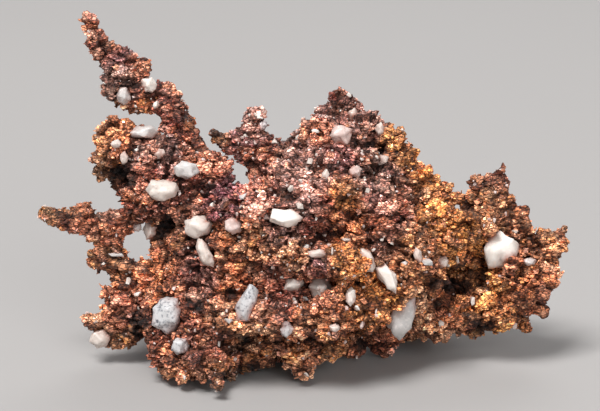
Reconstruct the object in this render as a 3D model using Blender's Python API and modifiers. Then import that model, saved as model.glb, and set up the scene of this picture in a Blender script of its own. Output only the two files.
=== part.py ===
"""Native copper nugget, 63 mm wide: a spongy, many-armed mass of copper crystals that holds quartz grains.

The copper grew as one piece, so it is one node. Each quartz grain is its own mineral and its own node, set
in a pocket of the copper. The nugget stands on knobs of its underside, cut flat at Z = 0.
"""

import math
import random

import bmesh
import bpy
from mathutils import Euler, Matrix, Vector
from mathutils.bvhtree import BVHTree

MM = 0.001

# The lay-out sheet. Every place is drawn in millimetres on a sheet through the nugget's middle: across to the
# right, up, and back behind the sheet. The sheet leans back, square to a line of sight that looks down on it.
SHEET_CENTRE = Vector((0.0, 0.0, 18.6)) * MM
SHEET_LEAN = math.radians(15.0)
SIGHT_DISTANCE = 200.0 * MM
ACROSS = Vector((1.0, 0.0, 0.0))
UP = Vector((0.0, math.sin(SHEET_LEAN), math.cos(SHEET_LEAN)))
BACK = Vector((0.0, math.cos(SHEET_LEAN), -math.sin(SHEET_LEAN)))
EYE = SHEET_CENTRE - BACK * SIGHT_DISTANCE

# How the copper's surface is made.
SEED = 29
LUMP_STEP = 0.7  # spacing of the lumps along a limb, in lump radii
LUMP_SQUASH = 0.22  # how far a lump may depart from a ball
LARGE_LUMP = 3.0 * MM  # lumps above this radius are always round
VOXEL = 0.5 * MM  # fineness at which the limbs run together
BASE_TRIANGLES = 4500  # flat facets that the copper's skin is brought down to
MEND_ROUNDS = 8
OUTLINE_RAYS = 8
REACH = 0.87  # a knob's or crystal's corners reach this far from its middle, in sizes
TRIES = 40  # places tried for each knob or crystal

# Knobs, which are run into the skin, and single crystals, which keep their flat faces: how many, their
# sizes, the share of its size that one's middle lies under the surface, how close they may stand as a
# share of their reach, and how thick the copper must be under them.
KNOBS = {"count": 260, "sizes": (2.6 * MM, 4.4 * MM), "sunk": 0.18, "apart": 0.55, "depth": 5.0 * MM}
CRYSTALS = {"count": 45, "sizes": (1.5 * MM, 3.0 * MM), "sunk": 0.25, "apart": 1.0, "depth": 2.5 * MM}
CLEAR_OF_GRAINS = 0.55  # crystals keep this share of their reach from the grains

# Quartz grains and their pockets.
GRAIN_CORNERS = 13
GRAIN_DENTS = 0.16  # how far a corner may lie inside the unit ball
GRAIN_JITTER = 0.35  # how far a corner may lie from its even place, in radians
GOLDEN_TURN = math.pi * (3 - math.sqrt(5))
POCKET_GAP = 0.3 * MM
FOOTPRINT = 0.6  # a grain is laid on the copper's middle depth within this share of its width and height

COPPER = ("native_copper", (0.56, 0.29, 0.18, 1.0), 0.9, 0.42)
QUARTZ = ("milky_quartz", (0.86, 0.82, 0.79, 1.0), 0.0, 0.35)

# Limbs of the copper: (across, up, back, radius) in millimetres, from the root of each limb to its tip.
BODY = [
    [(-14.2, -9.5, 1.0, 4.0), (-13.2, -15.2, -2.0, 4.8), (-8.0, -13.0, 0.0, 6.3),
     (-1.0, -10.2, 0.5, 8.6)],
    [(-12.6, -1.6, 1.0, 3.5), (-7.0, -5.5, 1.0, 6.2), (0.5, -2.0, 1.0, 8.0), (8.0, -5.5, 1.0, 9.4)],
    [(0.5, -2.0, 1.0, 8.0), (5.5, 2.0, 2.0, 7.2), (9.2, 2.4, 2.5, 4.9), (13.5, -1.0, 1.5, 4.2)],
    [(8.0, -5.5, 1.0, 9.4), (12.8, -10.8, 2.5, 4.9)],
    [(4.5, 7.0, 2.0, 3.4), (5.5, 2.0, 2.0, 7.2)],
]
LEDGES = [
    [(-12.5, -13.5, -6.5, 2.0), (-9.0, -13.4, -8.0, 2.0), (-4.5, -13.7, -9.0, 1.9),
     (0.5, -13.6, -9.5, 2.0),
     (5.0, -12.6, -9.3, 2.3), (8.8, -12.4, -8.0, 2.0)],
    [(-3.0, -6.0, -7.6, 1.8), (1.5, -6.6, -7.8, 1.5), (5.4, -6.9, -9.6, 1.8)],
    [(-6.0, -2.0, -5.5, 2.0), (1.0, -0.5, -7.0, 2.2), (5.0, 1.0, -6.4, 2.0)],
]
FEET = [
    [(-13.0, -16.0, -4.0, 3.0), (-13.4, -18.8, -7.6, 2.3)],
    [(-15.0, -14.4, -3.2, 2.6), (-15.8, -17.2, -4.8, 2.1), (-15.0, -19.0, -6.4, 1.9)],
    [(-17.2, -17.4, -4.6, 0.8), (-18.0, -18.1, -4.6, 0.4)],
    [(-10.4, -18.4, -6.0, 1.6), (-10.1, -20.4, -9.2, 0.8), (-9.6, -21.8, -11.2, 0.5)],
    [(-7.0, -16.5, -4.0, 2.2), (-7.0, -18.6, -5.0, 1.5)],
    [(-0.5, -16.5, -4.5, 2.0), (0.2, -19.4, -6.0, 1.2), (0.7, -20.2, -6.6, 0.8)],
    [(0.2, -18.8, -6.0, 1.1), (-1.4, -19.0, -6.4, 0.9)],
    [(0.6, -18.2, -5.4, 1.3), (2.6, -17.6, -5.0, 1.2), (5.0, -16.8, -4.6, 0.9)],
    [(3.5, -15.5, -3.0, 2.0), (4.0, -17.0, -2.0, 1.2)],
    [(4.4, -16.0, 1.0, 1.7), (7.0, -15.6, 2.0, 1.6), (10.0, -14.8, 2.4, 1.6)],
    [(10.0, -14.5, 2.5, 1.8), (10.1, -17.6, 2.4, 1.1)],
    [(13.0, -12.0, 8.0, 2.6), (13.4, -14.8, 9.6, 2.0)],
    [(-9.0, -12.0, 8.0, 3.0), (-9.8, -14.6, 9.8, 2.2)],
    [(2.0, -11.0, 9.0, 3.2), (2.2, -14.2, 11.4, 2.0)],
]
BACK_LOBES = [
    [(-12.0, 1.0, 5.0, 3.0), (-12.6, 1.6, 8.4, 2.0)],
    [(-6.0, -6.0, 6.0, 4.6), (-6.8, -5.0, 10.4, 2.6)],
    [(2.0, -5.0, 8.0, 5.2), (1.0, -3.0, 12.6, 2.4)],
    [(10.0, -1.0, 7.0, 4.4), (11.0, 1.2, 11.2, 2.2)],
    [(14.0, -8.0, 7.0, 4.0), (16.4, -8.4, 10.6, 2.2)],
    [(-14.0, -11.0, 4.0, 3.2), (-15.2, -10.0, 7.8, 1.9)],
    [(5.0, 4.0, 6.0, 3.6), (4.0, 6.0, 9.6, 1.9)],
    [(22.0, -7.0, 3.0, 2.8), (22.6, -5.6, 6.8, 1.8)],
]
REAR_FINGERS = [
    [(-7.0, -4.0, 10.0, 1.8), (-8.6, -2.6, 13.0, 1.0), (-9.4, -0.4, 14.2, 0.7)],
    [(3.0, -2.0, 12.0, 1.8), (4.6, 1.2, 14.2, 1.1), (4.2, 3.6, 14.6, 0.7)],
    [(11.0, 1.0, 10.6, 1.6), (12.8, 2.2, 12.2, 0.9), (13.6, 2.6, 12.8, 0.6)],
    [(16.4, -8.0, 10.0, 1.6), (19.0, -7.4, 11.6, 1.0), (20.8, -5.6, 11.8, 0.7)],
    [(1.0, -8.0, 12.0, 1.8), (-0.6, -10.0, 14.4, 1.0), (-2.4, -10.6, 15.0, 0.6)],
    [(-14.0, -9.0, 7.0, 1.6), (-16.6, -8.0, 9.4, 1.0), (-18.2, -8.6, 10.2, 0.6)],
    [(-12.8, 2.0, 7.6, 1.4), (-14.4, 4.0, 9.0, 0.9), (-14.2, 5.8, 9.6, 0.6)],
    [(23.0, -5.0, 6.0, 1.3), (25.0, -3.4, 7.6, 0.8), (26.6, -3.8, 8.0, 0.5)],
    [(-19.0, 5.0, 1.0, 1.8), (-19.6, 4.4, 4.4, 1.5), (-20.6, 6.0, 5.8, 0.8)],
    [(5.0, 8.0, 3.0, 1.8), (5.6, 8.6, 6.0, 1.3), (4.6, 10.0, 7.4, 0.8)],
]
TALL_ARM = [
    [(-14.8, 11.2, 1.4, 1.0), (-16.2, 12.4, 1.3, 1.1), (-18.0, 12.5, 1.0, 1.25), (-19.8, 13.3, 0.7, 1.7),
     (-21.4, 14.5, 0.5, 2.0), (-21.2, 16.2, 0.5, 1.9), (-22.6, 17.9, 0.3, 1.1), (-23.6, 19.1, 0.0, 0.95),
     (-24.5, 20.3, 0.0, 0.8), (-25.2, 21.3, 0.0, 0.75), (-25.1, 22.4, 0.0, 1.0)],
    [(-20.6, 16.2, 0.5, 1.4), (-19.2, 16.3, 0.3, 1.3)],
    [(-22.2, 14.2, 0.5, 1.6), (-22.7, 15.6, 0.4, 1.3), (-22.6, 17.2, 0.4, 1.1)],
    [(-21.4, 14.5, 0.5, 1.6), (-22.9, 14.0, 0.3, 1.15), (-23.1, 12.95, 0.2, 0.65)],
    [(-21.2, 16.6, 0.5, 1.2), (-20.75, 18.4, 0.2, 0.65)],
    [(-23.8, 18.9, 0.0, 0.6), (-24.8, 19.3, -0.2, 0.6), (-25.8, 19.6, -0.3, 0.5)],
    [(-23.0, 18.0, 0.2, 0.7), (-24.9, 17.8, 0.0, 0.5)],
    [(-19.8, 13.0, 0.8, 1.2), (-20.6, 12.3, 0.9, 0.95), (-18.4, 11.5, 1.0, 0.85)],
]
BLADE = [
    [(-16.3, 14.4, 1.5, 1.0), (-15.6, 12.5, 1.4, 1.25), (-15.0, 11.0, 1.3, 1.4), (-13.9, 9.4, 1.1, 1.15),
     (-12.8, 7.6, 0.9, 1.0),
     (-12.3, 6.2, 0.6, 1.1), (-11.2, 4.6, 0.4, 1.6), (-10.8, 1.8, 0.6, 1.8)],
    [(-15.9, 11.2, 1.3, 0.8), (-16.3, 9.8, 1.2, 0.6)],
    [(-11.4, 5.0, 0.4, 1.2), (-10.0, 4.9, 0.3, 0.95)],
    [(-11.0, 3.6, 0.4, 1.2), (-9.9, 3.6, 0.3, 0.9)],
]
LEFT_LOBE = [
    [(-22.0, 8.2, 0.4, 1.3), (-20.4, 7.6, 0.9, 1.3), (-18.5, 7.3, 1.2, 1.3), (-16.6, 7.3, 1.2, 1.1),
     (-14.8, 6.8, 1.1, 0.8)],
    [(-12.6, 0.5, 1.0, 3.0), (-14.6, 3.3, 0.8, 2.5), (-16.8, 5.1, 0.8, 2.5), (-19.4, 6.2, 0.5, 2.5),
     (-22.0, 6.9, 0.2, 2.1)],
    [(-14.0, 1.0, 0.8, 2.6), (-17.4, 1.5, 0.3, 2.7), (-19.4, 1.1, 0.8, 2.0), (-20.9, 1.4, 1.2, 1.0)],
    [(-22.0, 8.0, 0.0, 1.0), (-24.0, 8.1, -0.4, 0.8), (-23.9, 6.3, -0.5, 1.0), (-24.0, 4.5, -0.5, 0.9),
     (-23.7, 3.5, -0.3, 0.75)],
    [(-22.2, 8.4, 0.0, 0.8), (-22.0, 9.8, 0.0, 0.9), (-23.0, 9.8, 0.0, 0.6)],
    [(-22.0, 9.8, 0.0, 0.8), (-20.2, 9.7, 0.0, 0.45)],
    [(-22.0, 5.2, 2.6, 1.4), (-21.2, 3.2, 2.8, 1.6), (-19.8, 1.6, 2.0, 1.6)],
    [(-17.6, 6.4, 0.5, 1.3), (-16.6, 7.2, 0.7, 1.0), (-14.9, 6.6, 0.8, 0.7)],
]
LEFT_ARM = [
    [(-16.0, -0.4, 0.8, 1.8), (-18.5, -0.9, 0.5, 1.3), (-21.0, -1.6, 0.3, 1.3), (-22.8, -3.0, 0.3, 1.6),
     (-24.6, -2.5, 0.0, 1.4), (-26.4, -2.0, -0.3, 1.35), (-28.0, -2.0, -0.6, 1.1), (-29.4, -1.6, -0.8, 0.7),
     (-30.6, -0.9, -1.0, 0.55)],
    [(-26.0, -1.4, 0.0, 1.0), (-25.9, -0.55, 0.0, 0.75)],
    [(-28.4, -1.4, -0.5, 0.6), (-28.5, -0.5, -0.5, 0.5)],
    [(-30.6, -0.9, -1.0, 0.45), (-30.8, -0.1, -1.0, 0.35)],
    [(-22.8, -3.4, 0.3, 1.2), (-23.8, -4.1, 0.3, 0.95), (-22.2, -4.3, 0.5, 1.0)],
    [(-14.2, -3.5, 1.4, 2.0), (-16.0, -4.4, 2.0, 1.5), (-16.0, -6.4, 1.4, 1.6)],
    [(-16.6, -1.4, 1.6, 1.2), (-17.2, -2.6, 2.0, 0.9)],
]
LOWER_ARMS = [
    [(-15.6, -7.8, 0.6, 2.0), (-17.6, -7.9, 0.4, 1.3), (-19.6, -7.6, 0.3, 0.9), (-21.3, -7.4, 0.2, 1.1),
     (-22.9, -6.9, 0.0, 1.0), (-24.4, -6.7, 0.0, 0.75), (-25.5, -7.0, 0.0, 0.5)],
    [(-24.0, -6.4, 0.0, 0.6), (-25.3, -5.7, 0.0, 0.5)],
    [(-21.5, -7.6, 0.2, 0.9), (-22.1, -8.4, 0.2, 0.75)],
    [(-22.6, -5.2, 0.4, 0.7), (-21.6, -5.8, 0.4, 0.6), (-21.0, -6.8, 0.3, 0.7)],
    [(-16.0, -10.5, 0.4, 2.0), (-18.4, -10.6, 0.2, 1.2), (-20.4, -11.0, 0.0, 1.1),
     (-22.2, -10.8, 0.0, 0.8), (-23.7, -10.8, 0.0, 0.5)],
    [(-17.0, -13.0, 0.4, 2.2), (-19.4, -13.0, 0.4, 2.0), (-21.2, -14.0, 0.3, 1.5),
     (-23.0, -13.9, 0.0, 0.9),
     (-24.6, -13.8, 0.0, 0.85), (-25.9, -13.6, 0.0, 0.75)],
    [(-20.0, -14.0, 0.4, 1.6), (-20.4, -15.9, 0.5, 1.15), (-21.9, -16.2, 0.5, 0.85),
     (-23.4, -15.9, 0.9, 0.95)],
    [(-22.6, -14.4, 0.6, 1.0), (-24.0, -15.0, 0.8, 1.0)],
    [(-21.0, -12.6, 0.2, 1.0), (-22.9, -12.9, 0.0, 0.55)],
]
MIDDLE_ARM = [
    [(-2.9, 2.0, 1.2, 2.2), (-4.0, 3.8, 1.4, 1.4), (-5.1, 6.0, 1.0, 1.7), (-5.9, 8.0, 0.9, 1.8),
     (-5.5, 10.2, 0.8, 1.25),
     (-6.0, 11.3, 0.8, 0.6)],
    [(-5.8, 8.0, 0.9, 1.5), (-7.4, 8.1, 0.7, 1.2), (-8.8, 8.0, 0.6, 0.85), (-9.8, 8.1, 0.5, 0.75),
     (-10.3, 8.8, 0.5, 0.6)],
    [(-7.4, 8.6, 0.8, 0.7), (-7.6, 9.1, 0.8, 0.4)],
    [(-9.4, 8.2, 0.4, 0.6), (-9.4, 8.9, 0.4, 0.4)],
    [(-5.6, 5.9, 0.8, 1.1), (-7.2, 5.4, 0.5, 0.55)],
    [(-4.6, 6.6, 0.8, 1.2), (-3.7, 7.2, 0.6, 1.0), (-3.4, 8.2, 0.5, 0.45), (-2.7, 8.4, 0.5, 0.35)],
    [(-4.9, 10.4, 0.8, 0.8), (-4.6, 11.5, 0.8, 0.35)],
    [(-1.2, 4.4, 1.4, 2.2), (-1.8, 6.2, 1.4, 1.1), (-0.4, 7.4, 1.4, 1.3), (-0.1, 8.7, 1.4, 0.6)],
    [(-8.8, -0.4, 0.8, 1.6), (-8.2, 1.6, 0.8, 0.9), (-6.6, 0.9, 0.9, 0.9), (-4.6, 0.9, 1.0, 1.4)],
]
CROWN = [
    [(3.6, 7.0, 1.0, 2.6), (3.9, 9.6, 1.0, 2.0), (3.6, 11.0, 0.9, 1.1), (2.3, 11.1, 0.9, 0.8)],
    [(3.0, 8.0, 1.2, 2.0), (1.7, 9.3, 1.0, 1.1)],
    [(4.4, 10.4, 0.9, 1.4), (4.9, 12.0, 0.8, 1.0), (4.8, 13.3, 0.6, 0.8), (4.1, 13.3, 0.6, 0.6)],
    [(5.6, 11.4, 1.2, 1.2), (6.2, 12.4, 1.1, 0.8), (6.9, 12.1, 1.1, 0.5)],
    [(6.0, 9.0, 1.0, 1.9), (6.6, 11.4, 1.3, 1.0), (7.2, 11.2, 1.2, 0.55)],
    [(5.8, 9.4, -1.0, 1.1), (7.4, 9.3, -0.9, 1.0), (9.0, 8.9, -0.6, 0.9), (10.6, 8.1, -0.1, 0.8),
     (12.0, 7.5, 0.4, 0.6)],
    [(7.6, 8.6, 1.2, 1.9), (8.6, 10.3, 1.1, 1.1), (9.5, 10.1, 1.0, 0.6)],
    [(8.6, 7.0, 1.2, 2.2), (10.2, 8.2, 1.0, 1.2), (11.6, 8.2, 1.0, 0.9), (12.3, 8.0, 1.0, 0.6)],
    [(12.4, 4.8, 1.4, 1.9), (14.3, 3.6, 1.0, 1.4), (15.9, 2.5, 0.8, 1.2), (17.6, 0.8, 0.6, 0.9),
     (19.0, 0.8, 0.5, 0.75), (20.2, 0.1, 0.5, 0.75)],
]
RIGHT_LOBE = [
    [(13.6, -2.6, 0.0, 3.2), (17.0, -3.6, -2.4, 2.6), (19.6, -3.2, -1.0, 2.1), (21.6, -3.0, 0.0, 2.0),
     (23.6, -5.6, 1.2, 2.9),
     (26.4, -6.6, 0.6, 2.5), (25.6, -9.8, 0.4, 2.7), (22.6, -11.4, 0.4, 2.1),
     (19.4, -12.8, 0.2, 1.7), (16.4, -13.4, 0.2, 2.0), (13.4, -12.6, 1.0, 2.4)],
    [(14.6, -8.6, 4.6, 2.6), (18.4, -8.8, 5.4, 2.8), (22.0, -8.6, 3.4, 2.4)],
    [(26.0, -9.6, 0.4, 2.2), (28.0, -9.6, 0.2, 1.8), (28.6, -11.4, 0.2, 1.0), (28.8, -12.8, 0.2, 0.5)],
    [(21.2, -14.0, 1.4, 1.2), (21.0, -15.7, 1.4, 0.6)],
    [(22.0, -12.2, 1.0, 1.4), (21.2, -14.0, 1.4, 1.3), (23.4, -13.8, 1.2, 1.2), (25.8, -13.7, 1.0, 1.0),
     (26.8, -14.2, 0.8, 0.45)],
    [(18.6, -13.8, 0.0, 1.3), (17.0, -15.0, 0.0, 0.95), (14.8, -14.6, 0.6, 1.3)],
    [(21.6, -2.6, 0.0, 1.6), (22.4, -0.4, 0.0, 1.6), (23.3, 1.6, 0.0, 1.7), (24.1, 3.2, 0.0, 1.1),
     (24.4, 4.5, 0.0, 0.55), (24.6, 5.2, 0.0, 0.35)],
    [(22.9, 2.6, 0.0, 0.9), (21.8, 3.0, 0.0, 0.8), (20.5, 2.7, -0.2, 0.6)],
    [(23.6, 1.0, 0.0, 1.2), (25.3, 0.7, 0.0, 0.8)],
    [(24.2, -2.0, 0.4, 1.4), (26.6, -2.2, 0.2, 1.0), (27.0, -1.0, 0.0, 0.8), (27.5, -0.1, 0.0, 0.5)],
    [(26.6, -4.6, 0.4, 1.6), (28.2, -4.1, 0.2, 1.05), (29.8, -4.2, 0.3, 0.95), (31.2, -4.5, 0.3, 0.85),
     (31.7, -5.2, 0.3, 0.7)],
    [(31.2, -4.2, 0.3, 0.75), (31.8, -2.8, 0.3, 0.5)],
    [(27.8, -6.6, 0.4, 1.3), (29.4, -6.6, 0.2, 1.0), (31.0, -6.8, 0.0, 0.6)],
    [(28.0, -8.2, 0.4, 1.4), (29.8, -8.6, 0.2, 1.0), (30.7, -8.4, 0.0, 0.6)],
]
LIMBS = [*BODY, *LEDGES, *FEET, *BACK_LOBES, *REAR_FINGERS, *TALL_ARM, *BLADE, *LEFT_LOBE, *LEFT_ARM,
         *LOWER_ARMS, *MIDDLE_ARM, *CROWN, *RIGHT_LOBE]

# Pits worn into the copper: (across, up, back, radius) in millimetres.
PITS = [
    (-21.4, 3.9, -0.8, 1.7),
    (-16.2, -2.6, -0.8, 1.5),
    (18.4, -9.4, -1.2, 2.4),
    (20.4, -9.2, -0.4, 1.7),
    (15.9, -11.6, -3.6, 1.0),
    (7.6, -15.9, -5.6, 1.7),
    (-9.6, -10.6, -7.4, 1.5),
    (-4.4, -16.4, -8.6, 1.3),
    (3.2, -15.6, -8.8, 1.4),
    (11.6, -1.6, -6.0, 1.1),
    (-1.0, 1.2, -8.4, 1.0),
    (-11.9, -12.2, -8.6, 1.1),
]
# Bays worn right through or under a rim, drawn as limbs that are taken away.
BAYS = [
    [(-7.4, 3.6, -8.0, 1.3), (-7.4, 3.6, 16.0, 1.3)],
    [(-6.5, 3.3, -8.0, 1.2), (-6.5, 3.3, 16.0, 1.2)],
    [(-8.3, 5.8, -4.0, 0.6), (-8.3, 5.8, 6.0, 0.6)],
    [(-9.4, 6.6, -4.0, 0.5), (-9.4, 6.6, 6.0, 0.5)],
    [(-11.0, 7.2, -4.0, 0.7), (-11.0, 7.2, 6.0, 0.7)],
    [(5.8, 7.5, -3.4, 0.7), (8.0, 7.2, -2.4, 1.0), (10.4, 6.9, -0.8, 0.9), (12.0, 6.5, 0.0, 0.5)],
]

# Quartz grains that show on the front: name, (across, up) on the sheet, (width, height, thickness) in
# millimetres, turn in the sheet's plane in degrees, and the share of the thickness that stands out.
FRONT_GRAINS = [
    ("tall_arm_white", (-18.2, 14.5), (2.2, 2.0, 1.8), 10, 0.6),
    ("tall_arm_grey", (-21.2, 13.1), (1.8, 2.2, 1.6), 0, 0.5),
    ("left_lobe_top", (-18.6, 8.8), (3.4, 1.7, 2.0), 5, 0.6),
    ("left_lobe_rim_high", (-22.1, 7.4), (1.3, 1.1, 1.1), 0, 0.55),
    ("left_lobe_rim_low", (-21.1, 5.8), (1.1, 1.5, 1.1), 0, 0.55),
    ("left_lobe_middle", (-16.8, 6.2), (1.3, 1.2, 1.2), 20, 0.55),
    ("left_lobe_tilted", (-13.7, 4.2), (3.4, 2.1, 2.0), -8, 0.6),
    ("left_lobe_heart", (-16.6, 1.9), (4.0, 2.5, 2.5), 0, 0.65),
    ("left_arm_twin_left", (-19.6, -2.5), (1.1, 1.3, 1.1), 0, 0.6),
    ("left_arm_twin_right", (-18.0, -2.7), (1.7, 2.8, 1.6), -6, 0.6),
    ("centre_left_large", (-12.2, -2.6), (3.5, 2.7, 2.6), 5, 0.6),
    ("centre_left_small", (-7.9, -2.4), (2.2, 2.1, 1.9), 0, 0.6),
    ("centre_left_slanting", (-11.4, -5.8), (1.6, 4.0, 1.7), 28, 0.65),
    ("lower_arm_end", (-23.9, -16.0), (2.5, 2.2, 2.0), 15, 0.55),
    ("bulb_large", (-16.0, -13.2), (3.6, 4.3, 3.0), -8, 0.6),
    ("bulb_low", (-14.4, -16.8), (2.3, 2.0, 1.8), 30, 0.55),
    ("lower_middle_slanting", (-6.3, -11.9), (2.3, 4.6, 2.4), -22, 0.65),
    ("middle_arm_speckled", (-4.5, 9.6), (1.2, 1.3, 1.2), 0, 0.55),
    ("crown_upper", (6.4, 10.8), (1.3, 1.9, 1.3), 0, 0.6),
    ("crown_right", (9.6, 9.2), (1.2, 1.7, 1.3), -10, 0.6),
    ("crown_curved", (4.9, 8.4), (2.4, 2.6, 1.8), -20, 0.6),
    ("upper_right_outer", (9.8, 5.5), (1.5, 1.3, 1.3), 0, 0.6),
    ("upper_right_inner", (6.6, 4.1), (1.7, 1.5, 1.4), 0, 0.6),
    ("upper_shard", (3.0, 3.4), (0.9, 2.0, 1.1), -12, 0.6),
    ("centre_bright", (-1.7, -1.5), (3.6, 2.0, 2.2), -4, 0.65),
    ("centre_low_bar", (2.1, -5.8), (2.6, 1.0, 1.2), 0, 0.6),
    ("centre_flat_grey", (-0.6, -9.6), (2.5, 1.6, 1.8), 0, 0.75),
    ("centre_grey_white", (2.4, -9.8), (2.8, 3.4, 2.6), 0, 0.75),
    ("right_pointed", (8.1, -6.5), (1.9, 2.8, 1.8), 8, 0.6),
    ("right_slanting_oval", (10.6, -8.8), (2.1, 3.9, 2.0), 32, 0.6),
    ("right_lilac_plate", (14.2, -6.0), (1.0, 2.0, 1.1), 10, 0.6),
    ("right_lobe_small", (17.0, -6.8), (1.6, 1.5, 1.3), 0, 0.6),
    ("right_tall_slanting", (12.3, -13.2), (2.8, 5.8, 2.5), -20, 0.65),
    ("right_lobe_large", (24.1, -5.4), (4.1, 4.5, 3.0), -8, 0.65),
    ("right_lobe_side", (27.6, -6.8), (1.7, 1.1, 1.2), 0, 0.6),
    ("lower_speckled", (-1.7, -14.8), (1.7, 1.8, 1.5), 0, 0.55),
    ("lower_shard", (6.1, -11.0), (1.2, 2.2, 1.1), -12, 0.6),
    ("lower_small", (4.2, -14.7), (1.3, 1.1, 1.1), 0, 0.6),
]

# Quartz grains on the side behind: name, (across, height above the ground), and the rest as for the front.
REAR_GRAINS = [
    ("rear_middle_large", (2.6, 15.4), (3.8, 3.0, 2.6), 20, 0.6),
    ("rear_middle_tall", (-2.4, 21.0), (2.0, 3.4, 2.0), -15, 0.6),
    ("rear_left_wide", (9.6, 20.6), (3.2, 2.2, 2.0), 0, 0.6),
    ("rear_left_small", (15.0, 14.2), (1.8, 1.6, 1.5), 0, 0.6),
    ("rear_left_lobe", (23.4, 13.4), (2.6, 2.0, 1.8), 30, 0.6),
    ("rear_right_bright", (-9.4, 15.6), (3.0, 2.6, 2.2), 10, 0.6),
    ("rear_right_arm", (-16.4, 20.8), (2.2, 2.6, 1.8), 0, 0.6),
    ("rear_right_low", (-12.6, 9.0), (2.4, 1.8, 1.8), -20, 0.6),
    ("rear_low_middle", (-2.0, 8.0), (1.8, 2.2, 1.6), 0, 0.6),
    ("rear_crown", (6.4, 26.4), (1.7, 2.0, 1.5), 0, 0.6),
    ("rear_low_left", (8.6, 8.2), (2.6, 1.7, 1.7), 12, 0.6),
]


def at(across, up, back):
    """The point, in metres, that is drawn there on the lay-out sheet and lies that far behind it."""
    drawn = SHEET_CENTRE + (ACROSS * across + UP * up) * MM
    return EYE + (drawn - EYE) * ((SIGHT_DISTANCE + back * MM) / SIGHT_DISTANCE)


def lump(mesh, centre, radius, dice):
    """Add one lump of copper crystal there: an angular ball, turned and squashed by chance."""
    squash = [1 + dice.uniform(-LUMP_SQUASH, LUMP_SQUASH) for _ in range(3)]
    turn = Euler([dice.uniform(0, math.tau) for _ in range(3)]).to_matrix().to_4x4()
    place = Matrix.Translation(centre) @ turn @ Matrix.Diagonal((*squash, 1.0))
    if radius > LARGE_LUMP or dice.random() < 0.5:
        bmesh.ops.create_icosphere(mesh, subdivisions=2, radius=radius, matrix=place)
    else:
        bmesh.ops.create_cube(mesh, size=radius * 1.6, matrix=place)


def add_limb(mesh, limb, dice):
    """Fill a limb with overlapping lumps, from its root to its tip."""
    for start, end in zip(limb, limb[1:]):
        first, last = at(*start[:3]), at(*end[:3])
        small = min(start[3], end[3]) * MM
        steps = max(1, math.ceil((last - first).length / (LUMP_STEP * small)))
        for step in range(steps):
            share = step / steps
            radius = (start[3] + (end[3] - start[3]) * share) * MM
            lump(mesh, first.lerp(last, share), radius, dice)
    lump(mesh, at(*limb[-1][:3]), limb[-1][3] * MM, dice)


def new_object(name, mesh_source, collection, look):
    """An object made from a bmesh, with its material and its collection."""
    mesh = bpy.data.meshes.new(name)
    mesh_source.to_mesh(mesh)
    mesh_source.free()
    thing = bpy.data.objects.new(name, mesh)
    collection.objects.link(thing)
    mesh.materials.append(look)
    return thing


def settle(thing):
    """Turn an object's modifiers into plain mesh."""
    graph = bpy.context.evaluated_depsgraph_get()
    finished = bpy.data.meshes.new_from_object(thing.evaluated_get(graph))
    thing.modifiers.clear()
    thing.data = finished


def keep_largest(thing):
    """Keep the largest closed shell: loose crumbs and sealed hollows go."""
    shape = bmesh.new()
    shape.from_mesh(thing.data)
    shells = []
    waiting = set(shape.faces)
    while waiting:
        seed = waiting.pop()
        shell, edge_of_shell = [seed], [seed]
        while edge_of_shell:
            face = edge_of_shell.pop()
            for edge in face.edges:
                for near in edge.link_faces:
                    if near in waiting:
                        waiting.discard(near)
                        shell.append(near)
                        edge_of_shell.append(near)
        shells.append(shell)
    shells.sort(key=lambda shell: sum(face.calc_area() for face in shell))
    extra = [face for shell in shells[:-1] for face in shell]
    bmesh.ops.delete(shape, geom=extra, context="FACES")
    loose = [vert for vert in shape.verts if not vert.link_faces]
    bmesh.ops.delete(shape, geom=loose, context="VERTS")
    shape.to_mesh(thing.data)
    shape.free()


def boolean(thing, other, operation):
    """Join or cut the copper with another solid. The exact solver leaves open edges on so ragged a skin."""
    cut = thing.modifiers.new(other.name, "BOOLEAN")
    cut.object = other
    cut.operation = operation
    cut.solver = "MANIFOLD"
    settle(thing)


def inside_outline(tree, centre, reach):
    """True where a thing of this reach stays inside the outline that the limbs draw on the sheet."""
    for step in range(OUTLINE_RAYS):
        angle = math.tau * step / OUTLINE_RAYS
        edge = centre + (ACROSS * math.cos(angle) + UP * math.sin(angle)) * reach
        if tree.ray_cast(EYE, (edge - EYE).normalized())[0] is None:
            return False
    return True


def spots(copper, rule, kept_clear, dice):
    """Seeded places on the copper, apart from one another and from the grains: centres and sizes."""
    shape = bmesh.new()
    shape.from_mesh(copper.data)
    tree = BVHTree.FromBMesh(shape)
    faces = list(shape.faces)
    areas = [face.calc_area() for face in faces]
    taken = []
    for face in dice.choices(faces, weights=areas, k=TRIES * rule["count"]):
        size = dice.uniform(*rule["sizes"])
        corners = [vert.co for vert in face.verts]
        spot = corners[0].lerp(corners[1], dice.random()).lerp(corners[2], dice.random() * 0.5)
        centre = spot - face.normal * (size * rule["sunk"])
        reach = size * REACH
        far_side = tree.ray_cast(spot - face.normal * (0.1 * MM), -face.normal)[3]
        if far_side is None or far_side < rule["depth"] or not inside_outline(tree, centre, reach):
            continue
        if any((centre - other).length < (reach + far) * rule["apart"] for other, far in taken):
            continue
        if any((centre - other).length < reach * CLEAR_OF_GRAINS + far for other, far in kept_clear):
            continue
        taken.append((centre, reach))
        if len(taken) == rule["count"]:
            break
    shape.free()
    return [(centre, reach / REACH) for centre, reach in taken]


def remesh(thing):
    """Run an object's overlapping solids together into one skin."""
    skin = thing.modifiers.new("run_together", "REMESH")
    skin.mode = "VOXEL"
    skin.voxel_size = VOXEL
    settle(thing)


def add_knobs(copper, dice):
    """Make the thick parts knobbly."""
    shape = bmesh.new()
    for centre, size in spots(copper, KNOBS, [], dice):
        lump(shape, centre, size / 2, dice)
    shape.from_mesh(copper.data)
    shape.to_mesh(copper.data)
    shape.free()
    remesh(copper)


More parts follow.
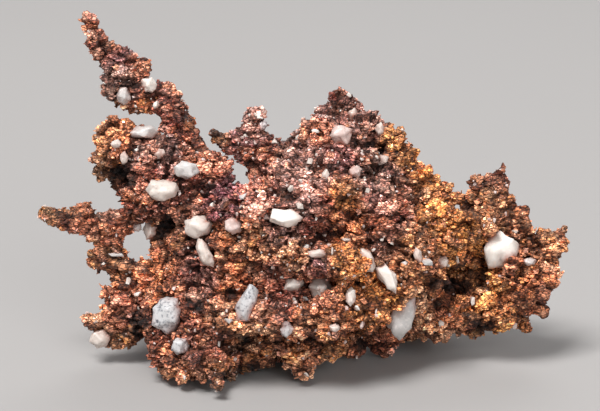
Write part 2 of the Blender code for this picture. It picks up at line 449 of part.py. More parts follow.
def close_up(shape):
    """Mend the few places where thin copper was pinched together: clear round them and fill the holes."""
    for _ in range(MEND_ROUNDS):
        pinched = [edge for edge in shape.edges if len(edge.link_faces) != 2]
        pinched += [vert for vert in shape.verts if vert.link_faces and not vert.is_manifold]
        if not pinched:
            break
        spoilt = set()
        for item in pinched:
            for vert in item.verts if isinstance(item, bmesh.types.BMEdge) else [item]:
                spoilt.update(vert.link_faces)
        bmesh.ops.delete(shape, geom=list(spoilt), context="FACES")
        loose = [vert for vert in shape.verts if not vert.link_faces]
        bmesh.ops.delete(shape, geom=loose, context="VERTS")
        rim = [edge for edge in shape.edges if len(edge.link_faces) == 1]
        patch = bmesh.ops.holes_fill(shape, edges=rim, sides=0)["faces"]
        bmesh.ops.triangulate(shape, faces=patch)
    bmesh.ops.recalc_face_normals(shape, faces=shape.faces)


def facet(copper):
    """Bring the skin down to large flat facets."""
    coarser = copper.modifiers.new("facets", "DECIMATE")
    coarser.ratio = BASE_TRIANGLES / sum(len(face.vertices) - 2 for face in copper.data.polygons)
    coarser.use_collapse_triangulate = True
    settle(copper)
    shape = bmesh.new()
    shape.from_mesh(copper.data)
    close_up(shape)
    shape.to_mesh(copper.data)
    shape.free()


def grow_copper(parts, cutters, looks, dice):
    """The copper's own form: the limbs run together, less the pits and bays, at an even fineness."""
    limbs = bmesh.new()
    for limb in LIMBS:
        add_limb(limbs, limb, dice)
    copper = new_object("copper_mass", limbs, parts, looks["copper"])
    remesh(copper)
    add_knobs(copper, dice)
    hollows = bmesh.new()
    for across, up, back, radius in PITS:
        lump(hollows, at(across, up, back), radius * MM, dice)
    for bay in BAYS:
        add_limb(hollows, bay, dice)
    pits = new_object("pits", hollows, cutters, looks["copper"])
    remesh(pits)
    boolean(copper, pits, "DIFFERENCE")
    keep_largest(copper)
    facet(copper)
    return copper


def grain_shape(dice):
    """Corners of a grain of unit half-size: well spread, uneven, and a hull of flat faces about them."""
    corners = []
    for index in range(GRAIN_CORNERS):
        level = 1 - (2 * index + 1) / GRAIN_CORNERS
        around = index * GOLDEN_TURN + dice.uniform(-GRAIN_JITTER, GRAIN_JITTER)
        ring = math.sqrt(1 - level * level)
        corner = Vector((ring * math.cos(around), ring * math.sin(around), level))
        corners.append(corner * dice.uniform(1 - GRAIN_DENTS, 1.0))
    spin = Euler([dice.uniform(0, math.tau) for _ in range(3)]).to_matrix()
    corners = [spin @ corner for corner in corners]
    for axis in range(3):
        low, high = min(c[axis] for c in corners), max(c[axis] for c in corners)
        for corner in corners:
            corner[axis] = (corner[axis] - low) / (high - low) * 2 - 1
    hull = bmesh.new()
    for corner in corners:
        hull.verts.new(corner)
    made = bmesh.ops.convex_hull(hull, input=hull.verts)
    inside = [item for item in made["geom_interior"] if isinstance(item, bmesh.types.BMVert)]
    bmesh.ops.delete(hull, geom=inside, context="VERTS")
    bmesh.ops.recalc_face_normals(hull, faces=hull.faces)
    return hull


def scaled(hull, place, half_sizes):
    """A copy of a grain's hull with these half-sizes, at its place."""
    copy = hull.copy()
    bmesh.ops.transform(copy, matrix=place @ Matrix.Diagonal((*half_sizes, 1.0)), verts=copy.verts)
    return copy


def seat(tree, start, aim, side, rise, sizes, shows):
    """Centre of a grain that is laid on the copper along a sight line and sunk in it."""
    hits = []
    for step_side, step_rise in ((0, 0), (1, 0), (-1, 0), (0, 1), (0, -1)):
        offset = side * (step_side * sizes[0]) + rise * (step_rise * sizes[1])
        target = aim + offset * (FOOTPRINT / 2)
        line = (target - start).normalized()
        found = tree.ray_cast(start, line)
        if found[0] is not None:
            hits.append(found[3])
    if not hits:
        return aim
    hits.sort()
    line = (aim - start).normalized()
    return start + line * (hits[len(hits) // 2] + (0.5 - shows) * sizes[2])


def add_grain(name, centre, axes, sizes, parts, cutters, looks, dice):
    """Make one quartz grain there, and the solid that will cut its pocket."""
    place = Matrix.Translation(centre) @ axes.to_4x4()
    hull = grain_shape(dice)
    flattest = min(abs(face.normal.dot(face.verts[0].co)) for face in hull.faces)
    halves = [size / 2 for size in sizes]
    grain = scaled(hull, place, halves)
    pocket = scaled(hull, place, [half + POCKET_GAP / flattest for half in halves])
    hull.free()
    new_object("quartz_" + name, grain, parts, looks["quartz"])
    return new_object("pocket_" + name, pocket, cutters, looks["quartz"])


def set_grains(copper, parts, cutters, looks, dice):
    """Set every quartz grain in the copper. Gives back its pocket cutters, and the places to keep clear."""
    shape = bmesh.new()
    shape.from_mesh(copper.data)
    tree = BVHTree.FromBMesh(shape)
    shape.free()
    behind = Vector((-1.0, 0.0, 0.0)), Vector((0.0, 0.0, 1.0)), Vector((0.0, 1.0, 0.0))
    front = [(name, EYE, at(*place, 0.0), (ACROSS, UP, -BACK), *rest) for name, place, *rest in FRONT_GRAINS]
    rear = [(name, Vector((across * MM, SIGHT_DISTANCE, height * MM)),
             Vector((across * MM, 0.0, height * MM)), behind, *rest)
            for name, (across, height), *rest in REAR_GRAINS]
    pockets, kept_clear = [], []
    for name, start, aim, directions, sizes, turn, shows in front + rear:
        sizes = [size * MM for size in sizes]
        centre = seat(tree, start, aim, directions[0], directions[1], sizes, shows)
        axes = Matrix(directions).transposed() @ Matrix.Rotation(math.radians(turn), 3, "Z")
        pockets.append(add_grain(name, centre, axes, sizes, parts, cutters, looks, dice))
        kept_clear.append((centre, max(sizes) / 2))
    return pockets, kept_clear


def add_crystals(copper, kept_clear, cutters, looks, dice):
    """Stud the copper with single crystals: blocks and blunt pyramids, each turned by chance."""
    crystals = bmesh.new()
    for centre, size in spots(copper, CRYSTALS, kept_clear, dice):
        turn = Euler([dice.uniform(0, math.tau) for _ in range(3)]).to_matrix().to_4x4()
        place = Matrix.Translation(centre) @ turn @ Matrix.Diagonal((1.0, 1.0, dice.uniform(0.5, 1.1), 1.0))
        if dice.random() < 0.4:
            bmesh.ops.create_cube(crystals, size=size, matrix=place)
        else:
            bmesh.ops.create_cone(crystals, cap_ends=True, segments=4, radius1=size * 0.7, radius2=size * 0.1,
                                  depth=size * 0.9, matrix=place)
    studs = new_object("crystals", crystals, cutters, looks["copper"])
    boolean(copper, studs, "UNION")
    keep_largest(copper)


def flatten_feet(copper, cutters, looks):
    """Cut the knobs of the underside flat at Z = 0."""
    slab = bmesh.new()
    place = Matrix.Translation(Vector((0.0, 0.0, -10 * MM)))
    bmesh.ops.create_cube(slab, size=1.0, matrix=place @ Matrix.Diagonal((80 * MM, 60 * MM, 20 * MM, 1.0)))
    ground = new_object("ground", slab, cutters, looks["copper"])
    boolean(copper, ground, "DIFFERENCE")


def cut_pockets(copper, pockets):
    """Cut the grains' pockets out of the copper."""
    for pocket in pockets:
        boolean(copper, pocket, "DIFFERENCE")
    keep_largest(copper)


def make_look(name, colour, metallic, roughness):
    """One plain surface."""
    look = bpy.data.materials.new(name)
    look.use_nodes = True
    shader = look.node_tree.nodes["Principled BSDF"]
    shader.inputs["Base Color"].default_value = colour
    shader.inputs["Metallic"].default_value = metallic
    shader.inputs["Roughness"].default_value = roughness
    look.diffuse_color = colour
    return look


def centre_on_ground(things):
    """Slide everything so that the origin lies under the middle of the nugget's box."""
    corners = [vert.co for thing in things for vert in thing.data.vertices]
    middle = [(min(c[axis] for c in corners) + max(c[axis] for c in corners)) / 2 for axis in (0, 1)]
    slide = Matrix.Translation(Vector((-middle[0], -middle[1], 0.0)))
    for thing in things:
        thing.data.transform(slide)


def main():
    """Build the nugget."""
    for thing in list(bpy.data.objects):
        bpy.data.objects.remove(thing)
    parts = bpy.data.collections.new("native_copper_nugget")
    cutters = bpy.data.collections.new("cutters")
    bpy.context.scene.collection.children.link(parts)
    bpy.context.scene.collection.children.link(cutters)
    looks = {"copper": make_look(*COPPER), "quartz": make_look(*QUARTZ)}
    dice = random.Random(SEED)
    copper = grow_copper(parts, cutters, looks, dice)
    pockets, kept_clear = set_grains(copper, parts, cutters, looks, dice)
    add_crystals(copper, kept_clear, cutters, looks, dice)
    flatten_feet(copper, cutters, looks)
    cut_pockets(copper, pockets)
    centre_on_ground(parts.objects)
    for helper in cutters.objects:
        helper.hide_render = True
        helper.display_type = "WIRE"


main()
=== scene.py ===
"""Native copper nugget: the fine crystals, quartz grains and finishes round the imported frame."""

import logging
import math
import random
from collections.abc import Iterable, Sequence
from dataclasses import dataclass, field
from enum import Enum

import bmesh
import bpy
import numpy as np
from mathutils import Matrix, Vector, noise
from mathutils.bvhtree import BVHTree
from mathutils.kdtree import KDTree


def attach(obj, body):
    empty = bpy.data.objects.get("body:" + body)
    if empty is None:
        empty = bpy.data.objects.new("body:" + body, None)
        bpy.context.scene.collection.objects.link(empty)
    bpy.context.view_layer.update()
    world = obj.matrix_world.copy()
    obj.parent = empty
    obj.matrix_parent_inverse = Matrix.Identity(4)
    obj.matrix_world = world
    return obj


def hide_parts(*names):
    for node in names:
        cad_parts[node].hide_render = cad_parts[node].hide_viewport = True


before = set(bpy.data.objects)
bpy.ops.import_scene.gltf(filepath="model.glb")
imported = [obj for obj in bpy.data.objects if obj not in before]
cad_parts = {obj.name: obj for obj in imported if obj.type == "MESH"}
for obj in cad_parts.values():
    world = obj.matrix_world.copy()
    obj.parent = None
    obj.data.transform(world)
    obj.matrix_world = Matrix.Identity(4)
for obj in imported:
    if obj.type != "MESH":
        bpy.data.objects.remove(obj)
MM = 0.001
BODY = "root"
SEED = 412
OPEN_SKY = 0.75  # share of free sky from which a place counts as unsheltered
LIFT = 0.2 * MM  # how far off the skin a look for free sky starts
LEAN_OUT = 1.05  # how strongly such a look leans away from the skin

log = logging.getLogger("nugget")
Colour = tuple[float, float, float]
Pair = tuple[float, float]


class Tone(Enum):
    """Colours of the copper's skin, fresh or tarnished, as base colours of the metal."""

    GOLD = (0.63, 0.27, 0.085)
    PALE_GOLD = (0.74, 0.40, 0.235)
    ORANGE = (0.52, 0.185, 0.08)
    RUST = (0.33, 0.108, 0.065)
    SALMON = (0.60, 0.245, 0.155)
    PALE_SALMON = (0.88, 0.39, 0.26)
    ROSE = (0.46, 0.20, 0.155)
    PALE_ROSE = (0.62, 0.37, 0.32)
    MAUVE = (0.32, 0.145, 0.14)
    PURPLE = (0.20, 0.075, 0.09)
    MAROON = (0.20, 0.055, 0.04)
    TAN = (0.42, 0.195, 0.10)
    OLIVE = (0.28, 0.145, 0.075)
    GREY_MAUVE = (0.30, 0.20, 0.18)
    UMBER = (0.09, 0.045, 0.025)


@dataclass(frozen=True)
class Sheet:
    """The lay-out sheet that places are drawn on: across and up in millimetres, square to the sight line."""

    slide: Vector = field(default_factory=lambda: Vector((-0.507, 0.512, 18.6)) * MM)
    lean: float = math.radians(15.0)
    distance: float = 200.0 * MM

    @property
    def across(self) -> Vector:
        """Direction to the right on the sheet."""
        return Vector((1.0, 0.0, 0.0))

    @property
    def up(self) -> Vector:
        """Direction up on the sheet."""
        return Vector((0.0, math.sin(self.lean), math.cos(self.lean)))

    @property
    def back(self) -> Vector:
        """Direction of sight, away from the eye."""
        return Vector((0.0, math.cos(self.lean), -math.sin(self.lean)))

    @property
    def eye(self) -> Vector:
        """The point that the sheet is seen from."""
        return self.slide - self.back * self.distance

    def at(self, across: float, up: float) -> Vector:
        """The point that is drawn there on the sheet, in metres."""
        return self.slide + (self.across * across + self.up * up) * MM

    def read(self, points: np.ndarray) -> np.ndarray:
        """Where points lie on the sheet, seen from the eye.

        Args:
            points: One point a row, in metres.

        Returns:
            One row (across, up) in millimetres for each point.
        """
        seen = points - np.array(self.eye)
        depth = seen @ np.array(self.back)
        across = seen @ np.array(self.across) / depth
        up = seen @ np.array(self.up) / depth
        return np.column_stack((across, up)) * self.distance / MM


SHEET = Sheet()


@dataclass(frozen=True)
class Zone:
    """A patch of one tone on the copper, drawn on the sheet in millimetres."""

    across: float
    up: float
    reach: float
    tone: Tone
    crumbs: float = 0.04


# The umber zones darken hollows and shaded undersides with their near-black colour: painted shade.
ZONES = [
    Zone(-25.1, 22.0, 2.4, Tone.RUST, 0.06),
    Zone(-23.8, 18.8, 1.8, Tone.RUST),
    Zone(-21.5, 17.2, 1.8, Tone.MAUVE),
    Zone(-22.4, 14.8, 2.2, Tone.GREY_MAUVE, 0.05),
    Zone(-19.4, 16.4, 1.2, Tone.SALMON),
    Zone(-20.2, 13.1, 1.0, Tone.ROSE, 0.08),
    Zone(-18.8, 12.5, 0.9, Tone.ORANGE, 0.08),
    Zone(-22.0, 12.3, 0.9, Tone.OLIVE),
    Zone(-19.2, 11.0, 1.0, Tone.UMBER),
    Zone(-16.4, 13.6, 1.5, Tone.MAROON),
    Zone(-15.2, 14.0, 1.0, Tone.SALMON),
    Zone(-16.0, 11.4, 1.2, Tone.MAROON),
    Zone(-14.1, 11.7, 1.0, Tone.RUST),
    Zone(-14.6, 9.4, 1.2, Tone.MAROON),
    Zone(-13.3, 9.7, 0.8, Tone.ORANGE),
    Zone(-13.2, 7.9, 1.2, Tone.RUST),
    Zone(-12.2, 6.2, 1.4, Tone.SALMON),
    Zone(-10.8, 5.0, 1.9, Tone.PALE_SALMON),
    Zone(-21.9, 9.6, 1.5, Tone.TAN),
    Zone(-24.2, 7.2, 1.8, Tone.TAN, 0.06),
    Zone(-24.0, 4.2, 1.6, Tone.OLIVE, 0.10),
    Zone(-21.4, 7.6, 1.4, Tone.ORANGE, 0.12),
    Zone(-18.9, 7.0, 1.6, Tone.GREY_MAUVE, 0.12),
    Zone(-18.3, 4.1, 1.4, Tone.MAROON, 0.06),
    Zone(-19.2, 5.3, 1.0, Tone.PALE_ROSE, 0.16),
    Zone(-16.2, 7.4, 1.6, Tone.GREY_MAUVE, 0.12),
    Zone(-16.0, 5.2, 1.3, Tone.PALE_ROSE, 0.10),
    Zone(-18.9, 1.6, 1.2, Tone.ROSE, 0.08),
    Zone(-15.8, -0.2, 1.4, Tone.ROSE, 0.08),
    Zone(-13.8, 1.6, 2.4, Tone.MAROON),
    Zone(-9.4, 1.6, 2.2, Tone.PURPLE),
    Zone(-29.6, -0.8, 1.8, Tone.OLIVE),
    Zone(-26.6, -2.0, 2.2, Tone.RUST),
    Zone(-27.6, -1.0, 1.1, Tone.OLIVE),
    Zone(-24.2, -2.4, 1.4, Tone.RUST),
    Zone(-22.8, -2.8, 1.8, Tone.RUST),
    Zone(-20.4, -1.0, 1.8, Tone.RUST),
    Zone(-16.2, -3.6, 2.0, Tone.UMBER),
    Zone(-24.4, -6.8, 2.4, Tone.OLIVE, 0.06),
    Zone(-20.6, -8.4, 2.2, Tone.ORANGE, 0.06),
    Zone(-21.0, -11.6, 2.6, Tone.RUST),
    Zone(-24.6, -13.8, 2.2, Tone.PALE_GOLD, 0.08),
    Zone(-20.8, -14.8, 2.2, Tone.UMBER),
    Zone(-16.2, -8.4, 2.8, Tone.ORANGE),
    Zone(-12.4, -8.2, 2.8, Tone.MAUVE, 0.10),
    Zone(-13.4, -11.0, 2.6, Tone.RUST),
    Zone(-7.6, -7.2, 3.4, Tone.ORANGE, 0.07),
    Zone(-5.6, -5.2, 2.2, Tone.PALE_GOLD, 0.06),
    Zone(-2.2, -3.4, 1.8, Tone.PALE_ROSE, 0.10),
    Zone(-3.6, -8.0, 1.4, Tone.ROSE, 0.08),
    Zone(-1.2, -5.8, 1.8, Tone.PALE_GOLD, 0.08),
    Zone(2.4, -7.2, 1.5, Tone.MAUVE, 0.08),
    Zone(-5.0, 9.6, 1.6, Tone.PALE_ROSE, 0.16),
    Zone(-6.8, 7.2, 1.8, Tone.MAUVE, 0.10),
    Zone(-9.8, 7.8, 1.2, Tone.OLIVE),
    Zone(-3.4, 7.2, 1.2, Tone.MAROON, 0.06),
    Zone(-4.4, 4.6, 1.6, Tone.ROSE, 0.10),
    Zone(-0.8, 6.6, 1.8, Tone.GREY_MAUVE, 0.14),
    Zone(1.8, 5.0, 1.8, Tone.PALE_ROSE, 0.14),
    Zone(-4.4, 1.2, 2.2, Tone.ROSE, 0.10),
    Zone(-1.8, 3.2, 1.6, Tone.PALE_ROSE, 0.12),
    Zone(0.8, 1.4, 2.2, Tone.PALE_ROSE, 0.12),
    Zone(3.2, 0.4, 1.4, Tone.MAROON, 0.06),
    Zone(4.6, 5.6, 1.8, Tone.MAUVE, 0.10),
    Zone(5.6, 1.0, 1.8, Tone.GOLD),
    Zone(10.2, 4.8, 1.8, Tone.GREY_MAUVE, 0.08),
    Zone(8.6, 1.8, 2.2, Tone.PALE_ROSE, 0.10),
    Zone(2.2, -3.0, 1.8, Tone.MAROON, 0.08),
    Zone(10.4, -1.6, 3.0, Tone.MAROON, 0.04),
    Zone(6.4, -2.4, 2.4, Tone.ORANGE),
    Zone(12.6, 1.6, 2.2, Tone.RUST),
    Zone(15.4, 3.0, 2.4, Tone.GOLD, 0.02),
    Zone(17.2, -0.6, 2.8, Tone.GOLD, 0.02),
    Zone(12.0, 7.0, 2.2, Tone.GOLD, 0.04),
    Zone(4.6, 13.3, 1.2, Tone.MAROON),
    Zone(2.8, 11.2, 1.4, Tone.GREY_MAUVE, 0.10),
    Zone(6.8, 9.6, 2.4, Tone.PALE_ROSE, 0.14),
    Zone(2.4, 8.8, 1.7, Tone.RUST),
    Zone(20.4, -4.4, 3.2, Tone.GOLD, 0.02),
    Zone(22.6, 0.6, 3.2, Tone.OLIVE),
    Zone(24.6, 3.6, 2.2, Tone.RUST),
    Zone(27.2, -1.2, 2.2, Tone.ORANGE),
    Zone(27.4, -9.4, 3.4, Tone.ORANGE, 0.02),
    Zone(30.6, -5.6, 2.4, Tone.TAN),
    Zone(22.8, -11.6, 3.2, Tone.GOLD, 0.03),
    Zone(18.6, -12.0, 2.2, Tone.ORANGE),
    Zone(20.6, -14.6, 2.0, Tone.UMBER),
    Zone(5.4, -6.8, 2.0, Tone.GOLD, 0.04),
    Zone(7.0, -9.6, 2.0, Tone.GOLD, 0.08),
    Zone(2.6, -11.0, 1.6, Tone.ROSE, 0.08),
    Zone(10.8, -4.6, 1.6, Tone.MAROON, 0.05),
    Zone(13.4, -5.2, 2.8, Tone.TAN, 0.06),
    Zone(-9.6, -13.2, 1.8, Tone.PALE_GOLD, 0.06),
    Zone(-10.6, -16.6, 2.2, Tone.RUST, 0.04),
    Zone(-5.6, -13.8, 2.0, Tone.PALE_GOLD, 0.08),
    Zone(-2.6, -12.2, 1.5, Tone.MAROON, 0.08),
    Zone(-0.8, -10.4, 1.2, Tone.ROSE, 0.10),
    Zone(1.4, -14.0, 1.3, Tone.PALE_GOLD, 0.06),
    Zone(3.4, -12.4, 3.4, Tone.ORANGE, 0.06),
    Zone(8.6, -12.0, 3.0, Tone.GOLD, 0.04),
    Zone(14.2, -13.8, 2.2, Tone.PALE_GOLD, 0.03),
    Zone(-13.0, -17.6, 2.6, Tone.MAROON),
    Zone(-18.0, -17.0, 1.8, Tone.RUST),
    Zone(-14.4, -20.0, 2.0, Tone.TAN, 0.06),
    Zone(-10.2, -20.6, 1.6, Tone.UMBER),
    Zone(-7.2, -17.6, 2.0, Tone.UMBER),
    Zone(-3.4, -17.4, 1.6, Tone.TAN),
    Zone(-0.2, -19.4, 1.7, Tone.PALE_GOLD, 0.06),
    Zone(3.4, -17.0, 1.8, Tone.TAN),
    Zone(9.8, -16.6, 2.4, Tone.RUST),
]


@dataclass(frozen=True)
class Tints:
    """Reads the tone and the share of quartz crumbs at any place from the zones."""

    zones: list[Zone]
    fall: float = 2.2
    tail: float = 1e-9
    tail_start: float = 0.2
    tail_power: int = 6

    def weights(self, places: np.ndarray) -> np.ndarray:
        """How much each zone counts at each place.

        Args:
            places: One row (across, up) in millimetres for each place.

        Returns:
            A table with a row for each place and a column for each zone, each row adding up to 1.
        """
        centres = np.array([(zone.across, zone.up) for zone in self.zones])
        reaches = np.array([zone.reach for zone in self.zones])
        spans = np.linalg.norm(places[:, None, :] - centres[None, :, :], axis=2) / reaches
        far = self.tail / (self.tail_start + spans) ** self.tail_power
        strength = np.exp(-self.fall * spans**2) + far
        return strength / strength.sum(axis=1, keepdims=True)

    def colours(self, places: np.ndarray) -> np.ndarray:
        """The blended colour at each place."""
        tones = np.array([zone.tone.value for zone in self.zones])
        return self.weights(places) @ tones

    def crumbs(self, places: np.ndarray) -> np.ndarray:
        """The share of quartz crumbs at each place."""
        return self.weights(places) @ np.array([zone.crumbs for zone in self.zones])


TINTS = Tints(ZONES)


@dataclass(frozen=True)
class HollowShade:
    """Painted shade over a hollow: a patch where the colour is darkened and no crystal has room, with its
    place on the sheet and its reach, in millimetres.
    """

    across: float
    up: float
    reach: float
    dimmest: float = 0.10
    floor: float = 0.55
    rim: float = 0.75

    def light(self, places: np.ndarray) -> np.ndarray:
        """Share of light that it leaves at each place: least out to its floor, then rising over its rim."""
        span = np.hypot(places[:, 0] - self.across, places[:, 1] - self.up) / self.reach
        return self.dimmest + (1.0 - self.dimmest) * np.clip((span - self.floor) / self.rim, 0.0, 1.0)


HOLLOW_SHADES = [
    HollowShade(-21.4, 4.2, 1.3),
    HollowShade(-20.6, 2.8, 0.9),
    HollowShade(-16.5, -3.0, 1.2),
    HollowShade(-16.0, -1.6, 0.8),
    HollowShade(6.6, 7.5, 0.7),
    HollowShade(8.4, 7.3, 0.9),
    HollowShade(10.0, 6.9, 0.8),
    HollowShade(11.6, 6.5, 0.5),
    HollowShade(16.0, -9.2, 1.0),
    HollowShade(17.8, -9.6, 1.3),
    HollowShade(19.8, -9.8, 1.1),
    HollowShade(16.4, -11.9, 0.6),
    HollowShade(-8.2, -10.6, 0.9),
    HollowShade(-12.3, -12.0, 0.8),
    HollowShade(-13.4, -11.4, 0.5),
    HollowShade(-1.0, 1.0, 0.7),
    HollowShade(-19.4, -13.6, 1.3),
    HollowShade(-19.6, -15.4, 0.9),
    HollowShade(-9.5, -15.9, 0.8),
    HollowShade(-6.4, -16.0, 0.8),
    HollowShade(-2.6, -16.2, 0.7),
    HollowShade(1.4, -15.9, 0.8),
    HollowShade(7.4, -16.8, 1.1),
    HollowShade(21.2, -14.2, 1.0),
    HollowShade(22.8, -14.4, 0.9),
    HollowShade(-5.4, -19.2, 0.9),
]


def hollow_light(places: np.ndarray) -> np.ndarray:
    """Share of light that the hollow shades leave painted into the colour at each place, from near 0 in them
    to 1 clear of them.
    """
    light = np.ones(len(places))
    for hollow in HOLLOW_SHADES:
        light = np.minimum(light, hollow.light(places))
    return light


class Wire:
    """A shader socket that takes part in Python sums."""

    def __init__(self, graph: "Graph", socket: bpy.types.NodeSocket) -> None:
        """Wrap an output socket of a graph."""
        self.graph = graph
        self.socket = socket

    def _sum(self, kind: str, *values: "Wire | float") -> "Wire":
        """Add a Math node for one sum."""
        return self.graph.node("ShaderNodeMath", {"operation": kind}, dict(enumerate(values)))

    def __add__(self, other: "Wire | float") -> "Wire":
        """This plus other."""
        return self._sum("ADD", self, other)

    __radd__ = __add__

    def __mul__(self, other: "Wire | float") -> "Wire":
        """This times other."""
        return self._sum("MULTIPLY", self, other)

    __rmul__ = __mul__

    def __sub__(self, other: "Wire | float") -> "Wire":
        """This less other."""
        return self._sum("SUBTRACT", self, other)

    def __rsub__(self, other: float) -> "Wire":
        """Other less this."""
        return self._sum("SUBTRACT", other, self)

    def __truediv__(self, other: float) -> "Wire":
        """This over other."""
        return self._sum("DIVIDE", self, other)

    def about_one(self, swing: float) -> "Wire":
        """A factor that swings about 1 as this goes from 0 to 1."""
        return self * swing + (1.0 - swing / 2.0)

    def clamp(self) -> "Wire":
        """This, held between 0 and 1."""
        return self.graph.node("ShaderNodeClamp", {}, {"Value": self})


class Graph:
    """The node graph of one material."""

    def __init__(self, name: str) -> None:
        """Start a material with a Principled shader.

        Args:
            name: Name of the material.
        """
        self.material = bpy.data.materials.new(name)
        self.material.use_nodes = True
        self.tree = self.material.node_tree
        self.shader = self.tree.nodes["Principled BSDF"]

    def node(self, kind: str, settings: dict, values: dict, output: int | str = 0) -> Wire:
        """Add any node.

        Args:
            kind: Blender's type name of the node.
            settings: Properties of the node, set first; "stops" fills a colour ramp.
            values: Values or wires of its inputs, by name or number.
            output: Name or number of the output to give back.

        Returns:
            The chosen output.
        """
        made = self.tree.nodes.new(kind)
        for key, value in settings.items():
            if key == "stops":
                self._fill_ramp(made.color_ramp, value)
            else:
                setattr(made, key, value)
        for key, value in values.items():
            if isinstance(value, Wire):
                self.tree.links.new(value.socket, made.inputs[key])
            else:
                made.inputs[key].default_value = value
        return Wire(self, made.outputs[output])

    @staticmethod
    def _fill_ramp(ramp: bpy.types.ColorRamp, stops: Sequence[Pair]) -> None:
        """Set a ramp's stops, each a place and a grey."""
        while len(ramp.elements) < len(stops):
            ramp.elements.new(0.5)
        for element, (place, grey) in zip(ramp.elements, stops):
            element.position = place
            element.color = (grey, grey, grey, 1.0)

    def noise(self, scale: float, detail: float = 3.0, roughness: float = 0.55) -> Wire:
        """Noise on object coordinates, with a scale in lumps a metre."""
        place = self.node("ShaderNodeTexCoord", {}, {}, "Object")
        values = {"Vector": place, "Scale": scale, "Detail": detail, "Roughness": roughness}
        return self.node("ShaderNodeTexNoise", {}, values, "Fac")

    def warped(self, scale: float, amount: float, stretch: Colour) -> Wire:
        """Object coordinates, bent by noise and stretched.

        Args:
            scale: Lumps of the noise a metre.
            amount: How far it moves a place, in metres.
            stretch: Factor for each axis.

        Returns:
            The bent coordinates.
        """
        place = self.node("ShaderNodeTexCoord", {}, {}, "Object")
        values = {"Vector": place, "Scale": scale, "Detail": 2.0}
        drift = self.node("ShaderNodeTexNoise", {}, values, "Color")
        centred = self._vector("SUBTRACT", {0: drift, 1: (0.5, 0.5, 0.5)})
        moved = self._vector("MULTIPLY_ADD", {0: centred, 1: (amount * 2.0,) * 3, 2: place})
        return self._vector("MULTIPLY", {0: moved, 1: stretch})

    def _vector(self, operation: str, values: dict) -> Wire:
        """Add a Vector Math node."""
        return self.node("ShaderNodeVectorMath", {"operation": operation}, values)

    def cells(self, place: Wire, scale: float, feature: str, output: str) -> Wire:
        """Cells round scattered points, with a scale in cells a metre."""
        values = {"Vector": place, "Scale": scale}
        return self.node("ShaderNodeTexVoronoi", {"feature": feature}, values, output)

    def scaled(self, colour: Wire, factor: Wire) -> Wire:
        """A colour times a value."""
        return self._vector("SCALE", {0: colour, "Scale": factor})

    def ramp(self, value: Wire, stops: Sequence[Pair]) -> Wire:
        """Bend a value through grey stops."""
        return self.node("ShaderNodeValToRGB", {"stops": stops}, {"Fac": value})

    def mix(
        self,
        amount: Wire | float,
        first: Wire | Colour,
        second: Wire | Colour,
        blend: str = "MIX",
    ) -> Wire:
        """Mix two colours.

        Args:
            amount: Share of the second colour.
            first: The first colour, or a wire that carries it.
            second: The second colour, or a wire that carries it.
            blend: Blender's name of the way that they mix.

        Returns:
            The mixed colour.
        """
        ends = [end if isinstance(end, Wire) else (*end, 1.0) for end in (first, second)]
        settings = {"data_type": "RGBA", "blend_type": blend}
        return self.node("ShaderNodeMix", settings, {0: amount, 6: ends[0], 7: ends[1]}, 2)

    def attribute(self, name: str, output: str) -> Wire:
        """Read an attribute of the mesh."""
        return self.node("ShaderNodeAttribute", {"attribute_name": name}, {}, output)

    def bump(self, height: Wire, strength: float, distance: float) -> Wire:
        """Turn a height into a bumped normal."""
        values = {"Strength": strength, "Distance": distance, "Height": height}
        return self.node("ShaderNodeBump", {}, values)

    def feed(self, values: dict) -> bpy.types.Material:
        """Set or link the shader's inputs, and give back the material."""
        for key, value in values.items():
            if isinstance(value, Wire):
                self.tree.links.new(value.socket, self.shader.inputs[key])
            else:
                self.shader.inputs[key].default_value = value
        return self.material


@dataclass(frozen=True)
class CopperFinish:
    """Skin of the copper: metal with a tarnish that changes from crystal to crystal, and painted shade in
    the crevices of its fine scales.
    """

    name: str
    metallic: float = 0.15
    shine: float = 0.55
    smooth: float = 0.44
    rough: float = 0.72
    scales: float = 1500.0
    flatness: float = 2.2
    bends: float = 900.0
    warp: float = 0.42 * MM
    grains: float = 2600.0
    scale_swing: float = 0.56
    grain_swing: float = 0.76
    crease_stops: tuple[Pair, ...] = ((0.0, 0.05), (0.20, 1.0))
    soot_patches: float = 430.0
    soot_stops: tuple[Pair, ...] = ((0.56, 0.0), (0.74, 0.55))
    bump: float = 0.75
    relief: float = 0.10 * MM

    def material(self) -> bpy.types.Material:
        """Build the material; its colour comes from the mesh's tint, which holds painted shade, broken up by
        fine scales with painted shade in their crevices.
        """
        graph = Graph(self.name)
        shaded_tint = graph.attribute("shaded_tint", "Color")
        polish = graph.attribute("polish", "Fac")
        place = graph.warped(self.bends, self.warp, (1.0, 1.0, self.flatness))
        edge = graph.cells(place, self.scales, "DISTANCE_TO_EDGE", "Distance")
        crease = graph.ramp(edge, self.crease_stops)
        lot = graph.cells(place, self.scales, "F1", "Color")
        chance = graph.node("ShaderNodeSeparateColor", {}, {0: lot})
        fine = graph.noise(self.grains, 4.0, 0.6)
        # The crease darkens the colour along the scales' crevices as painted shade; it also bumps them into
        # relief.
        shade = crease * chance.about_one(self.scale_swing) * fine.about_one(self.grain_swing)
        colour = graph.scaled(shaded_tint, shade)
        soot = graph.ramp(graph.noise(self.soot_patches, 3.0, 0.5), self.soot_stops)
        colour = graph.mix(soot, colour, Tone.UMBER.value)
        roughness = self.rough - polish * (self.rough - self.smooth) + fine * 0.1
        metallic = self.metallic + polish * crease * (self.shine - self.metallic)
        normal = graph.bump(crease * 0.8 + fine * 0.5 + chance * 0.5, self.bump, self.relief)
        values = {"Base Color": colour, "Metallic": metallic, "Roughness": roughness, "Normal": normal}
        return graph.feed(values)


